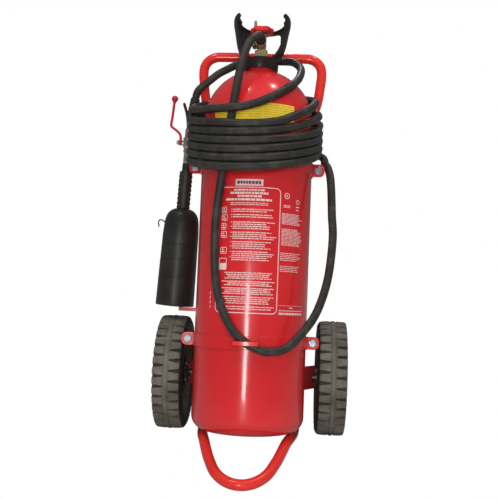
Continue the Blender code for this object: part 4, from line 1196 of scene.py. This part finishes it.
outer_horn = [
    (0.005, -0.1453), (0.014, -0.1453), (0.0168, -0.1459), (0.0205, -0.1473), (0.0248, -0.1498),
    (0.0286, -0.1531), (0.0317, -0.157), (0.0341, -0.1617), (0.0361, -0.1678), (0.0373, -0.175),
    (0.038, -0.183),
]


def seam(r, z, depth=0.0005, wide=0.0007):
    """A fine ring cut into the horn's wall."""
    return [(r, z + wide), (r - depth, z + wide * 0.3), (r - depth, z - wide * 0.3),
            (r + 0.0001, z - wide)]


outer_horn += seam(0.0383, -0.188) + [(0.0388, -0.196), (0.0393, -0.202)]
outer_horn += [(0.0395, -0.212)] + seam(0.0397, -0.224) + [(0.04, -0.24)] + seam(0.0403, -0.256)
outer_horn += [(0.0406, -0.27), (0.0408, -0.28)] + seam(0.04105, -0.296)
outer_horn += [(0.0414, -0.32), (0.0418, -0.342), (0.0421, mouth + 0.0006), (0.0419, mouth)]
inner_horn = [
    (0.0398, mouth), (0.0396, mouth + 0.0006), (0.0392, -0.33), (0.0383, -0.28), (0.0375, -0.24),
    (0.0368, -0.2035), (0.0364, -0.195), (0.0357, -0.1885), (0.0344, -0.1815), (0.0322, -0.175),
    (0.029, -0.169), (0.025, -0.164), (0.0202, -0.1588), (0.015, -0.1545), (0.005, -0.152),
]
piece("horn_bell", lathe(outer_horn + inner_horn, 112, closed=True), BLACK, "trolley", ("horn",),
      place=HEAD, angle=30)
nozzle = [(0.0, -0.153), (0.008, -0.153), (0.008, -0.175), (0.0072, -0.1765), (0.0, -0.1765)]
piece("discharge_nozzle", lathe(rounded(nozzle, 0.0006), 40), BRASS, "trolley",
      place=HEAD)
catch = [
    (-0.202, 0.09, 0.4505), (-0.205, 0.09, 0.454), (-0.21, 0.09, 0.4572), (-0.2145, 0.09, 0.457),
    (-0.2172, 0.09, 0.4535), (-0.2174, 0.09, 0.449), (-0.216, 0.09, 0.4455),
    (-0.2166, 0.09, 0.4425),
]
piece("horn_catch", sweep(smooth_path(catch, 0.001), 0.0014, 12, 0.0012), BLACK, "trolley")

hanger = [
    (-0.1103, RAIL_Y, 0.59), (-0.125, 0.09, 0.588), (-0.152, 0.0985, 0.5925), (-0.16, 0.099, 0.608),
    (-0.1606, 0.0985, 0.63), (-0.1613, 0.097, 0.6515), (-0.1625, 0.0965, 0.668),
    (-0.1657, 0.0965, 0.6954), (-0.1732, 0.0965, 0.72),
]
piece("lance_hanger_rod", sweep(smooth_path(hanger, 0.004), 0.0032, 20, 0.003), BLACK, "trolley",
      ("lance_hanger",))


lever_path = [
    (-0.0186, 0.0, 0.003), (-0.019, 0.0, 0.011), (-0.0215, 0.0, 0.0185), (-0.03, 0.0, 0.0262),
    (-0.041, 0.0, 0.0335), (-0.0425, 0.0, 0.04), (-0.0412, 0.0, 0.055), (-0.0395, 0.0, 0.089),
]
eye = [(0.0, 0.0), (0.006, 0.0), (0.0066, 0.0006), (0.0066, 0.0037), (0.006, 0.0043), (0.0, 0.0043)]
lever_parts = [
    sweep(smooth_path(lever_path, 0.002), 0.0028, 20),
    moved(lathe(eye, 48), toward((-0.0163, 0.0, 0.0), (-1, 0, 0))),
]
piece("lever_rod", merge(*lever_parts), LEVER_RED, "lever_body", ("lever",), place=HEAD)
knob_shape = bmesh.new()
bmesh.ops.create_uvsphere(knob_shape, u_segments=40, v_segments=24, radius=0.0072,
                          matrix=Matrix.Translation((-0.0392, 0.0, 0.0951)))
collar = moved(lathe(rounded([(0.0, 0.0), (0.0036, 0.0), (0.0042, 0.003), (0.0, 0.003)], 0.0004), 32),
               Matrix.Translation((-0.0395, 0.0, 0.0866)))
piece("lever_ball_knob", merge(knob_shape, collar), LEVER_RED, "lever_body", ("lever_knob",),
      place=HEAD)
wing_nut = merge(
    moved(hexagon(0.01, 0.0, 0.004, 0.14), toward((-0.0218, 0.0, 0.0), (-1, 0, 0))),
    moved(lathe(rounded([(0.0, 0.0), (0.003, 0.0), (0.003, 0.019), (0.0024, 0.0197),
                         (0.0, 0.0197)], 0.0003), 32),
          toward((-0.0075, 0.0, 0.0), (-1, 0, 0))),
)
piece("lever_fastener", wing_nut, ZINC, "lever_body", ("lever_nut", "valve_stem"),
      place=HEAD, bevel=0.0002, angle=25)

# CAD nodes that stay as they are
for name, look in (("dip_tube", NICKEL), ("valve_plug", BRASS), ("valve_ball", ZINC),
                   ("spindle", ZINC)):
    node = frame["nodes"][name]
    node.data.materials.clear()
    node.data.materials.append(look)
    node.data.shade_smooth()
    node.data.set_sharp_from_angle(angle=radians(35))


# ---------------------------------------------------------------- stage, lights and camera

floor_mesh = bpy.data.meshes.new("studio_floor")
floor_shape = bmesh.new()
bmesh.ops.create_circle(floor_shape, cap_ends=True, segments=96, radius=14.0)
floor_shape.to_mesh(floor_mesh)
floor_shape.free()
studio_floor = bpy.data.objects.new("studio_floor", floor_mesh)
scene.collection.objects.link(studio_floor)
floor_look, floor_tree, floor_shader = nodes_of("studio_white")
floor_tone = ramp(floor_tree, noise(floor_tree, 0.8, 2.0), "Fac",
                  [(0.2, (0.4, 0.4, 0.4)), (0.8, (0.46, 0.46, 0.46))])
link(floor_tree, floor_tone, "Color", floor_shader, "Base Color")
floor_shader.inputs["Roughness"].default_value = 0.9
floor_mesh.materials.append(floor_look)
studio_floor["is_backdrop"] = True


def by_ray(tree, plain, seen, ray, target, socket):
    """Shows seen to one kind of ray and plain to the others."""
    rays = tree.nodes.new("ShaderNodeLightPath")
    choose = tree.nodes.new("ShaderNodeMixShader")
    link(tree, rays, ray, choose, "Fac")
    tree.links.new(plain.outputs[0], choose.inputs[1])
    tree.links.new(seen.outputs[0], choose.inputs[2])
    if target:
        link(tree, choose, "Shader", target, socket)
    return choose


paper = floor_tree.nodes.new("ShaderNodeEmission")
paper.inputs["Strength"].default_value = 1.0
by_ray(floor_tree, floor_shader, paper, "Is Camera Ray", floor_tree.nodes["Material Output"], "Surface")

world = bpy.data.worlds.new("studio")
scene.world = world
world.use_nodes = True
sky = world.node_tree
backgrounds = {}
for ray, strength in (("diffuse", 0.34), ("glossy", 0.16), ("camera", 1.0)):
    backgrounds[ray] = sky.nodes.new("ShaderNodeBackground")
    backgrounds[ray].inputs["Color"].default_value = (1.0, 1.0, 1.0, 1.0)
    backgrounds[ray].inputs["Strength"].default_value = strength
unseen = by_ray(sky, backgrounds["diffuse"], backgrounds["glossy"], "Is Glossy Ray", None, "")
by_ray(sky, unseen, backgrounds["camera"], "Is Camera Ray", sky.nodes["World Output"], "Surface")


def lamp(name, at, look_at, width, height, power, in_gloss=True):
    light = bpy.data.lights.new(name, "AREA")
    light.shape = "RECTANGLE"
    light.size = width
    light.size_y = height
    light.energy = power
    obj = bpy.data.objects.new(name, light)
    obj.location = at
    obj.rotation_euler = (Vector(look_at) - Vector(at)).to_track_quat("-Z", "Y").to_euler()
    obj.visible_glossy = in_gloss
    scene.collection.objects.link(obj)


lamp("front_strip", (-0.2, -2.3, 0.61), (0.0, 0.0, 0.55), 0.24, 0.58, 8.5)
lamp("overhead", (0.0, -1.0, 2.9), (0.0, 0.0, 0.4), 2.4, 1.6, 30.0, in_gloss=False)
lamp("front_fill", (0.3, -3.2, 1.3), (0.0, 0.0, 0.45), 1.4, 1.2, 42.0, in_gloss=False)
# Three small lamps that glint on the shoulder
SPOTS = ((-0.76, -0.92, 2.83), (0.81, -0.33, 2.97), (-0.07, 1.39, 2.66))
for number, spot in enumerate(SPOTS):
    lamp(f"shoulder_spot_{number}", STANCE @ Vector(spot), (0.0, 0.0, 0.75), 0.22, 0.22, 6.0)

# The camera, in the cylinder's own frame
SENSOR_MM = 36.0
FOCAL_PX = 789.0
FRAME_PX = 500.0
CAMERA_AT = (0.0877, -1.6297, 0.2719)
view_yaw = 0.0584
view_pitch = 0.0727
view_roll = -0.0394
ahead = Vector((-sin(view_yaw) * cos(view_pitch), cos(view_yaw) * cos(view_pitch), sin(view_pitch)))
level = Vector((cos(view_yaw), sin(view_yaw), 0.0))
above = level.cross(ahead)
right = cos(view_roll) * level - sin(view_roll) * above
top = sin(view_roll) * level + cos(view_roll) * above
camera_data = bpy.data.cameras.new("camera")
camera_data.sensor_width = SENSOR_MM
camera_data.lens = FOCAL_PX / FRAME_PX * SENSOR_MM
camera = bpy.data.objects.new("camera", camera_data)
axes = Matrix((right, top, -ahead)).transposed().to_4x4()
camera.matrix_world = STANCE @ Matrix.Translation(CAMERA_AT) @ axes
scene.collection.objects.link(camera)
scene.camera = camera
scene.view_settings.view_transform = "Standard"

low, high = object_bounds()
